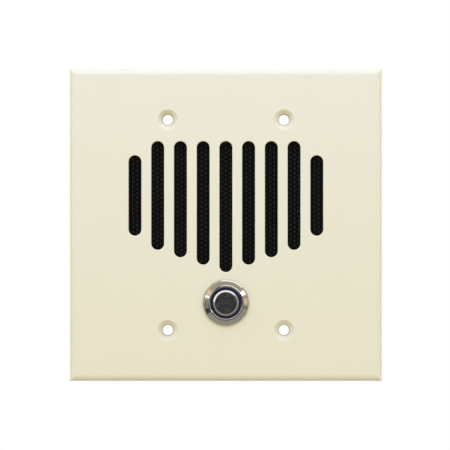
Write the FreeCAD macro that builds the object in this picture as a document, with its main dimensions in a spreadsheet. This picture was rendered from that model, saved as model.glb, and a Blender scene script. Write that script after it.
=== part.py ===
"""Wall-mounted intercom station: a square face plate for a two-gang box, with a speaker behind
nine slots and a ring-lit call button below them.

Millimetres. +X is to the right as seen from the front, the face looks along -Y and the wall is on
the +Y side, +Z is up. The origin is the middle of the plate on the plane where it meets the wall.
"""
import FreeCAD, Part
import Sketcher
import math
import os
import re

# How many of each repeated piece there are
SLOTS_EACH_SIDE = 4
BASKET_WINDOWS = 4
WASHER_TEETH = 12
RING_LAMPS = 4
TERMINAL_POLES = 6
CHIP_LEGS_EACH_SIDE = 4
RESISTORS = 4
SPRING_TURNS = 4
SPIDER_WAVES = 3

SIZES = {
    # Face plate, cast with its edge rounded over and its corners left square
    "plate_width": 123.8,
    "plate_height": 123.8,
    "plate_thickness": 3.2,
    "plate_edge_round": 2.9,
    "opening_edge_round": 0.3,
    # Shallow recess in the back of the plate for the cloth and the baffle
    "recess_depth": 0.8,
    "recess_gap": 0.4,
    "recess_corner": 3.0,
    "nut_pocket_diameter": 25.2,
    # Screw holes on the two-gang box pattern
    "box_hole_spacing_x": 46.04,
    "box_hole_spacing_z": 83.34,
    "box_hole_diameter": 4.1,
    "countersink_diameter": 8.1,
    "countersink_angle": 82,
    # Sound slots, which reach past the speaker's rim
    "slot_width": 5.1,
    "slot_pitch": 9.0,
    "slot_top_reach": 0.65,
    "slot_low_reach": 1.2,
    "slot_step": 2.93,
    "outer_slot_shorter": 5.6,
    # Posts on the back of the plate that the baffle is screwed to
    "post_diameter": 5.0,
    "post_inset": 4.6,
    "post_height": 6.1,
    "post_bore_depth": 7.0,
    # Woven cloth behind the slots
    "cloth_thickness": 0.5,
    "cloth_side_margin": 3.05,
    "cloth_top_margin": 2.4,
    "cloth_bottom_margin": 1.85,
    "cloth_hole_gap": 0.3,
    # Moulded baffle that carries the speaker, the microphone and the circuit board
    "baffle_thickness": 2.0,
    "baffle_opening_inset": 3.2,
    "baffle_lip_width": 1.2,
    "baffle_lip_height": 1.8,
    "sleeve_diameter": 8.0,
    "sleeve_gap": 0.3,
    "sleeve_cap": 1.4,
    "socket_ring_gap": 0.3,
    "socket_ring_wall": 1.7,
    "socket_ring_height": 1.5,
    "baffle_rib_width": 1.2,
    "baffle_low_rib": 5.0,
    "baffle_high_rib": 17.0,
    # Screws and their holes, with threads left as plain cylinders
    "screw_diameter": 3.0,
    "screw_length": 7.5,
    "screw_head_diameter": 5.6,
    "screw_head_height": 2.0,
    "screw_clearance": 0.2,
    "thread_gap": 0.03,
    "small_screw_diameter": 2.2,
    "small_screw_length": 3.9,
    "small_screw_head_diameter": 4.2,
    "small_screw_head_height": 1.5,
    # Shares of a screw head's height or diameter
    "head_side_share": 0.45,
    "head_round_share": 0.36,
    "head_top_share": 0.2,
    "cross_depth_share": 0.55,
    "cross_arm_share": 0.3,
    "cross_half_width_share": 0.07,
    # Speaker
    "speaker_diameter": 50.0,
    "speaker_height": 7.55,
    "basket_wall": 0.7,
    "basket_bend_offset": 0.3,
    "basket_flange_width": 3.15,
    "basket_shelf_share": 0.59,
    "basket_shelf_width": 2.0,
    "basket_shelf_depth": 6.3,
    "basket_seat_radius": 11.35,
    "basket_seat_depth": 8.1,
    "basket_bore_radius": 7.8,
    "basket_window_inset": 1.5,
    "basket_window_outer_half": 7.0,
    "basket_window_inner_half": 5.25,
    "gasket_thickness": 0.7,
    "gasket_width": 2.9,
    "surround_thickness": 0.3,
    "surround_roll_radius": 1.15,
    "surround_roll_inset": 4.55,
    "surround_glue_width": 0.9,
    "cone_wall": 0.4,
    "cone_neck_wall": 0.48,
    "cone_depth": 5.35,
    "dust_cap_radius": 8.0,
    "dust_cap_height": 2.25,
    "dust_cap_wall": 0.3,
    "coil_former_radius": 6.7,
    "coil_former_wall": 0.2,
    "coil_former_length": 6.6,
    "coil_former_overlap": 0.4,
    "coil_thickness": 0.35,
    "coil_length": 2.7,
    "coil_tail": 0.3,
    "glue_gap": 0.05,
    "spider_thickness": 0.3,
    "spider_wave_height": 0.4,
    "pole_gap": 0.4,
    "coil_gap": 0.35,
    "pole_recess": 0.1,
    "magnet_plate_radius": 14.0,
    "top_plate_thickness": 2.0,
    "magnet_radius": 16.0,
    "magnet_bore_radius": 9.5,
    "magnet_thickness": 5.0,
    "yoke_thickness": 2.0,
    "yoke_chamfer": 0.5,
    "tag_board_thickness": 1.0,
    "tag_board_length": 7.6,
    "tag_board_width": 12.0,
    "tag_width": 2.4,
    "tag_thickness": 0.4,
    "tag_height": 4.0,
    "tag_spacing": 7.0,
    # Clips that hold the speaker's flange
    "clip_boss_diameter": 6.0,
    "clip_boss_distance": 5.5,
    "clip_angle": 22,
    "clip_width": 6.0,
    "clip_overlap": 2.2,
    "clip_thickness": 1.0,
    # Microphone
    "microphone_inset": 1.0,
    "microphone_diameter": 6.0,
    "microphone_length": 5.0,
    "microphone_port_diameter": 3.0,
    "microphone_boot_diameter": 9.0,
    "microphone_boot_front": 0.6,
    "microphone_boot_length": 4.6,
    "microphone_gap": 0.05,
    "microphone_socket_wall": 1.4,
    "microphone_socket_height": 4.0,
    # Circuit board
    "board_width": 66.0,
    "board_height": 51.0,
    "board_thickness": 1.6,
    "board_gap": 2.5,
    "board_side_margin": 8.6,
    "board_corner": 2.0,
    "board_hole_inset": 4.0,
    "board_hole_diameter": 3.2,
    "board_post_foot_diameter": 6.4,
    "board_post_top_diameter": 5.2,
    "board_post_bore_depth": 8.0,
    "board_screw_length": 7.0,
    # Screw terminals on the board
    "terminal_pitch": 5.08,
    "terminal_end_wall": 0.42,
    "terminal_depth": 10.0,
    "terminal_height": 8.0,
    "terminal_edge_inset": 1.0,
    "terminal_bevel": 0.84,
    "terminal_slope_low": 6.0,
    "terminal_slope_high": 7.2,
    "terminal_entry_width": 3.5,
    "terminal_entry_depth": 6.5,
    "terminal_entry_low": 1.4,
    "terminal_entry_high": 5.0,
    "terminal_well_diameter": 3.7,
    "terminal_gap": 0.1,
    "terminal_clamp_length": 4.5,
    "terminal_clamp_wall": 0.6,
    "terminal_screw_diameter": 1.8,
    "terminal_screw_head_diameter": 3.3,
    "terminal_screw_head_height": 1.4,
    "terminal_screw_sink": 1.0,
    "terminal_screw_slot_width": 0.66,
    "terminal_screw_slot_depth": 0.7,
    # Components on the board
    "large_capacitor_diameter": 8.0,
    "large_capacitor_height": 11.5,
    "large_capacitor_spacing": 11.2,
    "small_capacitor_diameter": 5.0,
    "small_capacitor_height": 7.0,
    "small_capacitor_spacing": 10.0,
    "capacitor_foot_share": 0.12,
    "capacitor_groove": 0.35,
    "chip_length": 9.6,
    "chip_width": 6.4,
    "chip_height": 3.3,
    "chip_stand_off": 0.5,
    "chip_notch_radius": 0.8,
    "chip_notch_depth": 0.5,
    "chip_leg_pitch": 2.54,
    "chip_row_spacing": 7.62,
    "chip_leg_width": 0.5,
    "chip_leg_thickness": 0.25,
    "resistor_diameter": 2.3,
    "resistor_waist_diameter": 2.0,
    "resistor_length": 6.3,
    "resistor_end_length": 1.26,
    "resistor_distance": 2.54,
    "resistor_lead_diameter": 0.6,
    "resistor_lead_bend": 0.6,
    "resistor_lead_spacing": 10.16,
    "resistor_pitch": 3.6,
    "socket_width": 6.0,
    "socket_height": 4.6,
    "socket_depth": 5.8,
    "socket_wall": 0.7,
    "socket_spacing": 12.0,
    "socket_pin_width": 0.64,
    "socket_pin_pitch": 2.5,
    "socket_pin_length": 4.6,
    # Call button: bezel and threaded barrel, below the cloth
    "button_drop": 10.3,
    "button_hole_gap": 0.15,
    "button_head_diameter": 18.0,
    "button_head_edge": 0.3,
    "button_head_height": 1.5,
    "bezel_crown_radius": 7.0,
    "bezel_inner_round": 0.9,
    "barrel_diameter": 15.9,
    "barrel_length": 15.7,
    "barrel_bore_radius": 6.9,
    "barrel_shoulder_depth": 4.7,
    "seal_thickness": 0.5,
    "seal_width": 0.7,
    "seal_inset": 0.2,
    "nut_across_flats": 19.0,
    "nut_thickness": 3.0,
    "nut_thread_gap": 0.05,
    "nut_chamfer_width": 0.8,
    "nut_chamfer_depth": 0.4,
    "lock_washer_diameter": 19.4,
    "lock_washer_thickness": 0.6,
    "lock_washer_tooth": 0.8,
    # Call button: light ring and lamps
    "ring_fit_gap": 0.05,
    "ring_lip": 0.2,
    "ring_skirt_wall": 0.9,
    "ring_skirt_length": 3.8,
    "lamp_length": 1.6,
    "lamp_width": 0.8,
    "lamp_height": 0.6,
    "lamp_gap": 0.05,
    "lamp_board_thickness": 0.6,
    # Call button: moving pieces
    "button_travel": 1.5,
    "cap_radius": 5.2,
    "cap_gap": 0.1,
    "cap_proud": 0.4,
    "cap_bead_width": 0.9,
    "cap_bead_round": 0.3,
    "cap_bead_slope": 22,
    "cap_dish": 0.4,
    "cap_flange_radius": 5.8,
    "cap_flange_thickness": 1.0,
    "cap_stop_gap": 0.05,
    "cap_face_thickness": 2.2,
    "plunger_head_radius": 3.5,
    "plunger_stem_radius": 2.0,
    "plunger_tip_radius": 1.2,
    "plunger_tip_length": 1.0,
    "bridge_depth": 2.2,
    "bridge_length": 9.0,
    "bridge_width": 3.6,
    "bridge_thickness": 0.4,
    "contact_radius": 0.9,
    "contact_height": 0.4,
    "contact_spacing": 6.6,
    "contact_stop_gap": 0.05,
    "spring_radius": 4.3,
    "spring_wire": 0.5,
    # Call button: switch housing
    "spring_room": 6.35,
    "housing_gap": 0.1,
    "housing_floor": 1.6,
    "housing_bore_radius": 5.1,
    "stem_guide_gap": 0.08,
    "housing_body_radius": 7.6,
    "housing_cavity_radius": 5.6,
    "housing_cavity_depth": 6.3,
    "switch_base_thickness": 3.0,
    "switch_base_inset": 0.05,
    "blade_width": 2.2,
    "blade_thickness": 0.6,
    "blade_reach": 6.0,
    "lamp_pin_radius": 0.3,
    "lamp_pin_circle": 6.2,
    "lamp_pin_reach": 4.8,
    "pin_gap": 0.05,
}

document = FreeCAD.newDocument("intercom")
sheet = document.addObject("Spreadsheet::Sheet", "Sizes")
for row, (alias, size) in enumerate(SIZES.items(), start=1):
    sheet.set(f"A{row}", alias)
    sheet.set(f"B{row}", str(size))
    sheet.setAlias(f"B{row}", alias)
document.recompute()

nodes = []


# Expressions of sizes

def cells(text):
    """The expression with each size's name pointing at its cell in the sheet."""
    def cell(found):
        word = found.group()
        return f"Sizes.{word}" if word in SIZES else word
    return re.sub(r"[a-z][a-z_]+", cell, str(text))


def number(text):
    """What an expression of sizes comes to."""
    return float(sheet.evalExpression(cells(text)))


def bind(thing, size, text):
    """Tie one property of an object to an expression of sizes."""
    thing.setExpression(size, cells(text))


def minus(text):
    """The same expression with its sign turned."""
    return f"(-({text}))"


# Sketches

def sketch_on(body, name, plane, away="0"):
    """A sketch on one of the body's own origin planes, moved away along the plane's normal."""
    sketch = body.newObject("Sketcher::SketchObject", name)
    support = next(item for item in body.Origin.OriginFeatures if item.Role == plane)
    sketch.AttachmentSupport = (support, [""])
    sketch.MapMode = "FlatFace"
    bind(sketch, "AttachmentOffset.Base.z", away)
    return sketch


def facing_sketch(body, name, depth="0"):
    """A sketch seen from the front, with X to the right and Z up, at a depth along +Y."""
    return sketch_on(body, name, "XZ_Plane", minus(depth))


def hold(sketch, piece, point, x, y):
    """Fix a point of a sketch at expressions of sizes from the sketch's origin."""
    for kind, text, axis in (("DistanceX", x, -2), ("DistanceY", y, -1)):
        if text == "0":
            sketch.addConstraint(Sketcher.Constraint("PointOnObject", piece, point, axis))
        else:
            index = sketch.addConstraint(Sketcher.Constraint(kind, -1, 1, piece, point, number(text)))
            bind(sketch, f"Constraints[{index}]", text)


def arc_between(start, end, radius, turn):
    """The arc of that radius from start to end, to the left (turn 1) or to the right (turn -1)."""
    chord = end - start
    middle = (start + end) * 0.5
    rise = math.sqrt(max(radius ** 2 - (chord.Length / 2) ** 2, 0.0))
    across = FreeCAD.Vector(-chord.y, chord.x, 0).normalize()
    centre = middle + across * (rise * turn)
    first, last = (start, end) if turn > 0 else (end, start)
    angles = [math.atan2(point.y - centre.y, point.x - centre.x) for point in (first, last)]
    return Part.ArcOfCircle(Part.Circle(centre, FreeCAD.Vector(0, 0, 1), radius), *angles)


def outline(sketch, corners, closed=True):
    """An outline or an open path through corners, each an (x, y) pair of expressions.

    A corner with a radius and a turn after its place starts an arc to the next corner, which
    curves to the left of the way for a turn of 1 and to the right for -1.
    """
    spots = [FreeCAD.Vector(number(corner[0]), number(corner[1]), 0) for corner in corners]
    if closed:
        spots.append(spots[0])
    edges = []
    for corner, start, end in zip(corners, spots, spots[1:]):
        if len(corner) == 2:
            piece = sketch.addGeometry(Part.LineSegment(start, end))
            edges.append((piece, 1, 2))
        else:
            radius, turn = corner[2:]
            piece = sketch.addGeometry(arc_between(start, end, number(radius), turn))
            edges.append((piece, 1, 2) if turn > 0 else (piece, 2, 1))
            index = sketch.addConstraint(Sketcher.Constraint("Radius", piece, number(radius)))
            bind(sketch, f"Constraints[{index}]", radius)
    for (piece, _, end), (following, start, _) in zip(edges, edges[1:] + edges[:1] * closed):
        sketch.addConstraint(Sketcher.Constraint("Coincident", piece, end, following, start))
    for (piece, start, _), corner in zip(edges, corners):
        hold(sketch, piece, start, corner[0], corner[1])
    if not closed:
        hold(sketch, edges[-1][0], edges[-1][2], corners[-1][0], corners[-1][1])


def rectangle(sketch, left, right, low, high):
    """A rectangle between two pairs of sides."""
    outline(sketch, [(left, low), (right, low), (right, high), (left, high)])


def rounded_rectangle(sketch, left, right, low, high, radius):
    """A rectangle with its four corners rounded."""
    outline(sketch, [
        (f"{left} + {radius}", low),
        (f"{right} - {radius}", low, radius, 1),
        (right, f"{low} + {radius}"),
        (right, f"{high} - {radius}", radius, 1),
        (f"{right} - {radius}", high),
        (f"{left} + {radius}", high, radius, 1),
        (left, f"{high} - {radius}"),
        (left, f"{low} + {radius}", radius, 1),
    ])


def upright_slot(sketch, middle, low, high, width):
    """A round-ended slot from low to high."""
    radius = f"{width} / 2"
    outline(sketch, [
        (f"{middle} - {radius}", f"{low} + {radius}", radius, 1),
        (middle, low, radius, 1),
        (f"{middle} + {radius}", f"{low} + {radius}"),
        (f"{middle} + {radius}", f"{high} - {radius}", radius, 1),
        (middle, high, radius, 1),
        (f"{middle} - {radius}", f"{high} - {radius}"),
    ])


def circle(sketch, x, y, radius):
    """A circle held at its centre."""
    place = FreeCAD.Vector(number(x), number(y), 0)
    piece = sketch.addGeometry(Part.Circle(place, FreeCAD.Vector(0, 0, 1), number(radius)))
    index = sketch.addConstraint(Sketcher.Constraint("Radius", piece, number(radius)))
    bind(sketch, f"Constraints[{index}]", radius)
    if (x, y) == ("0", "0"):
        sketch.addConstraint(Sketcher.Constraint("Coincident", piece, 3, -1, 1))
    else:
        hold(sketch, piece, 3, x, y)


# Features

def new_body(label, x="0", y="0", z="0", kept=True):
    """A body placed by expressions, which is one of the part's nodes unless it is only copied."""
    body = document.addObject("PartDesign::Body", label)
    place(body, x, y, z)
    if kept:
        nodes.append(body)
    return body


def place(thing, x, y, z):
    """Tie where an object stands to expressions of sizes."""
    for axis, text in zip("xyz", (x, y, z)):
        if text != "0":
            bind(thing, f"Placement.Base.{axis}", text)


def pad(body, name, sketch, length, back=True):
    """Extrude a sketch towards the back of the part, or towards the sketch plane's own normal."""
    feature = body.newObject("PartDesign::Pad", name)
    feature.Profile = sketch
    feature.Reversed = back
    bind(feature, "Length", length)
    body.Tip = feature
    return feature


def pocket(body, name, sketch, depth=None, back=True):
    """Cut a sketch towards the back of the part, or the other way, to a depth or through all."""
    feature = body.newObject("PartDesign::Pocket", name)
    feature.Profile = sketch
    feature.Reversed = not back
    if depth is None:
        feature.Type = "ThroughAll"
    else:
        bind(feature, "Length", depth)
    body.Tip = feature
    return feature


def turn(body, name, corners, kind="Revolution", axis="V_Axis"):
    """Add or cut an outline of (x, depth) corners turned about one of its sketch's axes."""
    sketch = sketch_on(body, f"{name}_outline", "XY_Plane")
    outline(sketch, corners)
    feature = body.newObject(f"PartDesign::{kind}", name)
    feature.Profile = sketch
    feature.ReferenceAxis = (sketch, [axis])
    feature.Angle = 360
    body.Tip = feature


def turned(label, corners, y="0", x="0", z="0", kept=True):
    """A piece turned from one outline of (radius, depth) corners."""
    body = new_body(label, x, y, z, kept)
    turn(body, f"{label}_turning", corners)
    return body


def around(body, name, feature, count):
    """Repeat a feature in a full circle about the body's depth axis."""
    axis = next(item for item in body.Origin.OriginFeatures if item.Role == "Y_Axis")
    pattern = body.newObject("PartDesign::PolarPattern", name)
    pattern.Originals = [feature]
    pattern.Axis = (axis, [""])
    pattern.Angle = 360
    pattern.Occurrences = count
    body.Tip = pattern


def copies(label, master, places):
    """One node of equal, separate solids, with a copy of the master at each (x, y, z).

    A way and an angle after a place turn its copy about the depth axis by that many degrees,
    towards +Z for a way of 1 and towards -Z for -1.
    """
    links = []
    for index, (x, y, z, *turning) in enumerate(places, start=1):
        link = document.addObject("App::Link", f"{label}_{index}")
        link.LinkedObject = master
        if turning:
            way, angle = turning
            link.Placement.Rotation = FreeCAD.Rotation(FreeCAD.Vector(0, -way, 0), number(angle))
            bind(link, "Placement.Rotation.Angle", f"{angle} * 1 deg")
        place(link, x, y, z)
        links.append(link)
    group = document.addObject("Part::Compound", label)
    group.Links = links
    nodes.append(group)


# Places that several pieces share, as expressions

FRONT = "(-plate_thickness)"
RECESS_FLOOR = "(-recess_depth)"
CLOTH_BACK = f"({RECESS_FLOOR} + cloth_thickness)"
BAFFLE_BACK = f"({CLOTH_BACK} + baffle_thickness)"
GASKET_BACK = f"({BAFFLE_BACK} + gasket_thickness)"
SPEAKER_Y = f"({GASKET_BACK} + surround_thickness)"
FLANGE_BACK = f"({SPEAKER_Y} + basket_wall)"

SPEAKER_Z = "speaker_height"
SLOT_TOP = "(speaker_height + speaker_diameter / 2 + slot_top_reach)"
SLOT_LOW = "(speaker_height - speaker_diameter / 2 - slot_low_reach)"
OUTER_SLOT_TOP = f"({SLOT_TOP} - outer_slot_shorter)"
OUTER_SLOT_LOW = f"({SLOT_LOW} + {SLOTS_EACH_SIDE - 1} * slot_step + outer_slot_shorter)"

# The cloth covers the slots, and the baffle behind it is wide enough for the board
SLOTS_SIDE = f"({SLOTS_EACH_SIDE} * slot_pitch + slot_width / 2 + cloth_side_margin)"
CLOTH_SIDE = f"max({SLOTS_SIDE}; board_width / 2 + board_side_margin)"
CLOTH_TOP = f"({SLOT_TOP} + cloth_top_margin)"
CLOTH_LOW = f"({SLOT_LOW} - cloth_bottom_margin)"
CLOTH_CORNER = "(recess_corner - recess_gap)"

POST_X = f"({CLOTH_SIDE} - post_inset)"
POST_PLACES = [
    (x, z)
    for x in (minus(POST_X), POST_X)
    for z in (f"({CLOTH_TOP} - post_inset)", f"({CLOTH_LOW} + post_inset)")
]
POST_BACK = f"({RECESS_FLOOR} + post_height)"
SLEEVE_BACK = f"({POST_BACK} + sleeve_gap + sleeve_cap)"

SHELF_RADIUS = "(speaker_diameter / 2 * basket_shelf_share)"

# Depths within the speaker, from the front of its flange
TOP_PLATE_FRONT = "(basket_seat_depth + basket_wall)"
MAGNET_FRONT = f"({TOP_PLATE_FRONT} + top_plate_thickness)"
YOKE_FRONT = f"({MAGNET_FRONT} + magnet_thickness)"
YOKE_BACK = f"({YOKE_FRONT} + yoke_thickness)"

BOARD_FRONT = f"({SPEAKER_Y} + {YOKE_BACK} + board_gap)"
BOARD_BACK = f"({BOARD_FRONT} + board_thickness)"
BOARD_TOP = f"({SPEAKER_Z} + board_height / 2)"
BOARD_LOW = f"({SPEAKER_Z} - board_height / 2)"
BOARD_HOLE_X = "(board_width / 2 - board_hole_inset)"
BOARD_HOLES = [
    (x, z)
    for x in (minus(BOARD_HOLE_X), BOARD_HOLE_X)
    for z in (f"({BOARD_TOP} - board_hole_inset)", f"({BOARD_LOW} + board_hole_inset)")
]

CLIP_REACH = "(speaker_diameter / 2 + clip_boss_distance)"
CLIP_X = f"({CLIP_REACH} * cos(clip_angle * 1 deg))"
CLIP_Z = f"({CLIP_REACH} * sin(clip_angle * 1 deg))"
CLIP_PLACES = [
    (x, f"({SPEAKER_Z} + {z})")
    for x in (minus(CLIP_X), CLIP_X)
    for z in (minus(CLIP_Z), CLIP_Z)
]

MICROPHONE_X = f"({SLOTS_EACH_SIDE} * slot_pitch - microphone_inset)"
MICROPHONE_Z = f"(({OUTER_SLOT_TOP} + {OUTER_SLOT_LOW}) / 2)"

# Places across the board
LARGE_CAPACITOR_X = "(-board_width / 2 + board_hole_inset + large_capacitor_diameter)"
SMALL_CAPACITOR_X = f"({LARGE_CAPACITOR_X} + large_capacitor_diameter)"
CHIP_X = f"({SMALL_CAPACITOR_X} + small_capacitor_diameter / 2 + chip_length)"

# Depths within the button, from the underside of its head
BUTTON_Y = f"({FRONT} - seal_thickness)"
BUTTON_Z = f"({CLOTH_LOW} - button_drop)"
CROWN = "(-button_head_height)"
RING_FRONT = "(bezel_inner_round - button_head_height)"
RING_STEP = "(barrel_shoulder_depth + ring_lip)"
RING_BACK = "(barrel_shoulder_depth + ring_lip + ring_skirt_length)"
CAP_FLANGE_FRONT = f"({RING_STEP} + cap_stop_gap)"
CAP_BACK = f"({CAP_FLANGE_FRONT} + cap_flange_thickness)"
LAMP_BOARD_FRONT = f"({RING_BACK} + lamp_gap + lamp_height)"
HOUSING_FRONT = f"({LAMP_BOARD_FRONT} + lamp_board_thickness)"
SPRING_SEAT = f"({CAP_BACK} + spring_room)"
CAVITY_FRONT = f"({SPRING_SEAT} + housing_floor)"
CAVITY_BACK = f"({CAVITY_FRONT} + housing_cavity_depth)"
BASE_BACK = f"({CAVITY_BACK} + switch_base_thickness)"
BRIDGE_FRONT = f"({CAVITY_FRONT} + bridge_depth)"


# Face plate

def round_front_edges(body, name, feature, radius, longest=None):
    """Round the edges of a feature that lie in the plate's front, up to a length if one is given."""
    document.recompute()
    front = number(FRONT)
    limit = number(longest) if longest else math.inf
    rounding = body.newObject("PartDesign::Fillet", name)
    rounding.Base = (feature, [
        f"Edge{index}"
        for index, edge in enumerate(feature.Shape.Edges, start=1)
        if all(abs(vertex.Y - front) < 1e-6 for vertex in edge.Vertexes)
        and abs(edge.CenterOfMass.y - front) < 1e-6 and edge.Length < limit
    ])
    bind(rounding, "Radius", radius)
    body.Tip = rounding


def make_face_plate():
    """The cast plate with its slots, its screw and button holes and the posts on its back."""
    body = new_body("face_plate")
    sketch = facing_sketch(body, "plate_outline")
    rectangle(sketch, minus("plate_width / 2"), "plate_width / 2",
              minus("plate_height / 2"), "plate_height / 2")
    slab = pad(body, "plate_slab", sketch, "plate_thickness", back=False)
    round_front_edges(body, "plate_edge_rounding", slab, "plate_edge_round")

    sketch = facing_sketch(body, "recess_outline")
    rounded_rectangle(sketch, f"-{CLOTH_SIDE} - recess_gap", f"{CLOTH_SIDE} + recess_gap",
                      f"{CLOTH_LOW} - recess_gap", f"{CLOTH_TOP} + recess_gap", "recess_corner")
    pocket(body, "cloth_recess", sketch, "recess_depth", back=False)
    sketch = facing_sketch(body, "nut_pocket_outline")
    circle(sketch, "0", BUTTON_Z, "nut_pocket_diameter / 2")
    pocket(body, "nut_pocket", sketch, "recess_depth", back=False)

    sketch = facing_sketch(body, "post_outlines", RECESS_FLOOR)
    for x, z in POST_PLACES:
        circle(sketch, x, z, "post_diameter / 2")
    pad(body, "posts", sketch, "post_height")
    sketch = facing_sketch(body, "post_bore_outlines", POST_BACK)
    for x, z in POST_PLACES:
        circle(sketch, x, z, "screw_diameter / 2 + thread_gap")
    pocket(body, "post_bores", sketch, "post_bore_depth", back=False)

    sketch = facing_sketch(body, "slot_outlines")
    for place_number in range(-SLOTS_EACH_SIDE, SLOTS_EACH_SIDE + 1):
        steps = min(abs(place_number), SLOTS_EACH_SIDE - 1)
        outermost = abs(place_number) == SLOTS_EACH_SIDE
        low = OUTER_SLOT_LOW if outermost else f"({SLOT_LOW} + {steps} * slot_step)"
        high = OUTER_SLOT_TOP if outermost else SLOT_TOP
        middle = f"{place_number} * slot_pitch" if place_number else "0"
        upright_slot(sketch, middle, low, high, "slot_width")
    pocket(body, "sound_slots", sketch, back=False)

    sketch = facing_sketch(body, "button_hole_outline")
    circle(sketch, "0", BUTTON_Z, "barrel_diameter / 2 + button_hole_gap")
    pocket(body, "button_hole", sketch, back=False)

    sketch = facing_sketch(body, "screw_hole_centres", FRONT)
    for x in (minus("box_hole_spacing_x / 2"), "box_hole_spacing_x / 2"):
        for z in (minus("box_hole_spacing_z / 2"), "box_hole_spacing_z / 2"):
            circle(sketch, x, z, "box_hole_diameter / 2")
    document.recompute()
    holes = body.newObject("PartDesign::Hole", "screw_holes")
    holes.Profile = sketch
    holes.ThreadType = "None"
    holes.DepthType = "ThroughAll"
    bind(holes, "Diameter", "box_hole_diameter")
    holes.HoleCutType = "Countersink"
    holes.HoleCutCustomValues = True
    bind(holes, "HoleCutDiameter", "countersink_diameter")
    bind(holes, "HoleCutCountersinkAngle", "countersink_angle")
    body.Tip = holes
    round_front_edges(body, "opening_edge_rounding", holes, "opening_edge_round", "plate_height / 2")


def make_grille_cloth():
    """The cloth that lies in the recess behind the slots, cut out round the posts."""
    body = new_body("grille_cloth")
    sketch = facing_sketch(body, "cloth_outline", RECESS_FLOOR)
    rounded_rectangle(sketch, minus(CLOTH_SIDE), CLOTH_SIDE, CLOTH_LOW, CLOTH_TOP, CLOTH_CORNER)
    for x, z in POST_PLACES:
        circle(sketch, x, z, "post_diameter / 2 + cloth_hole_gap")
    pad(body, "cloth", sketch, "cloth_thickness")


# Baffle

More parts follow.
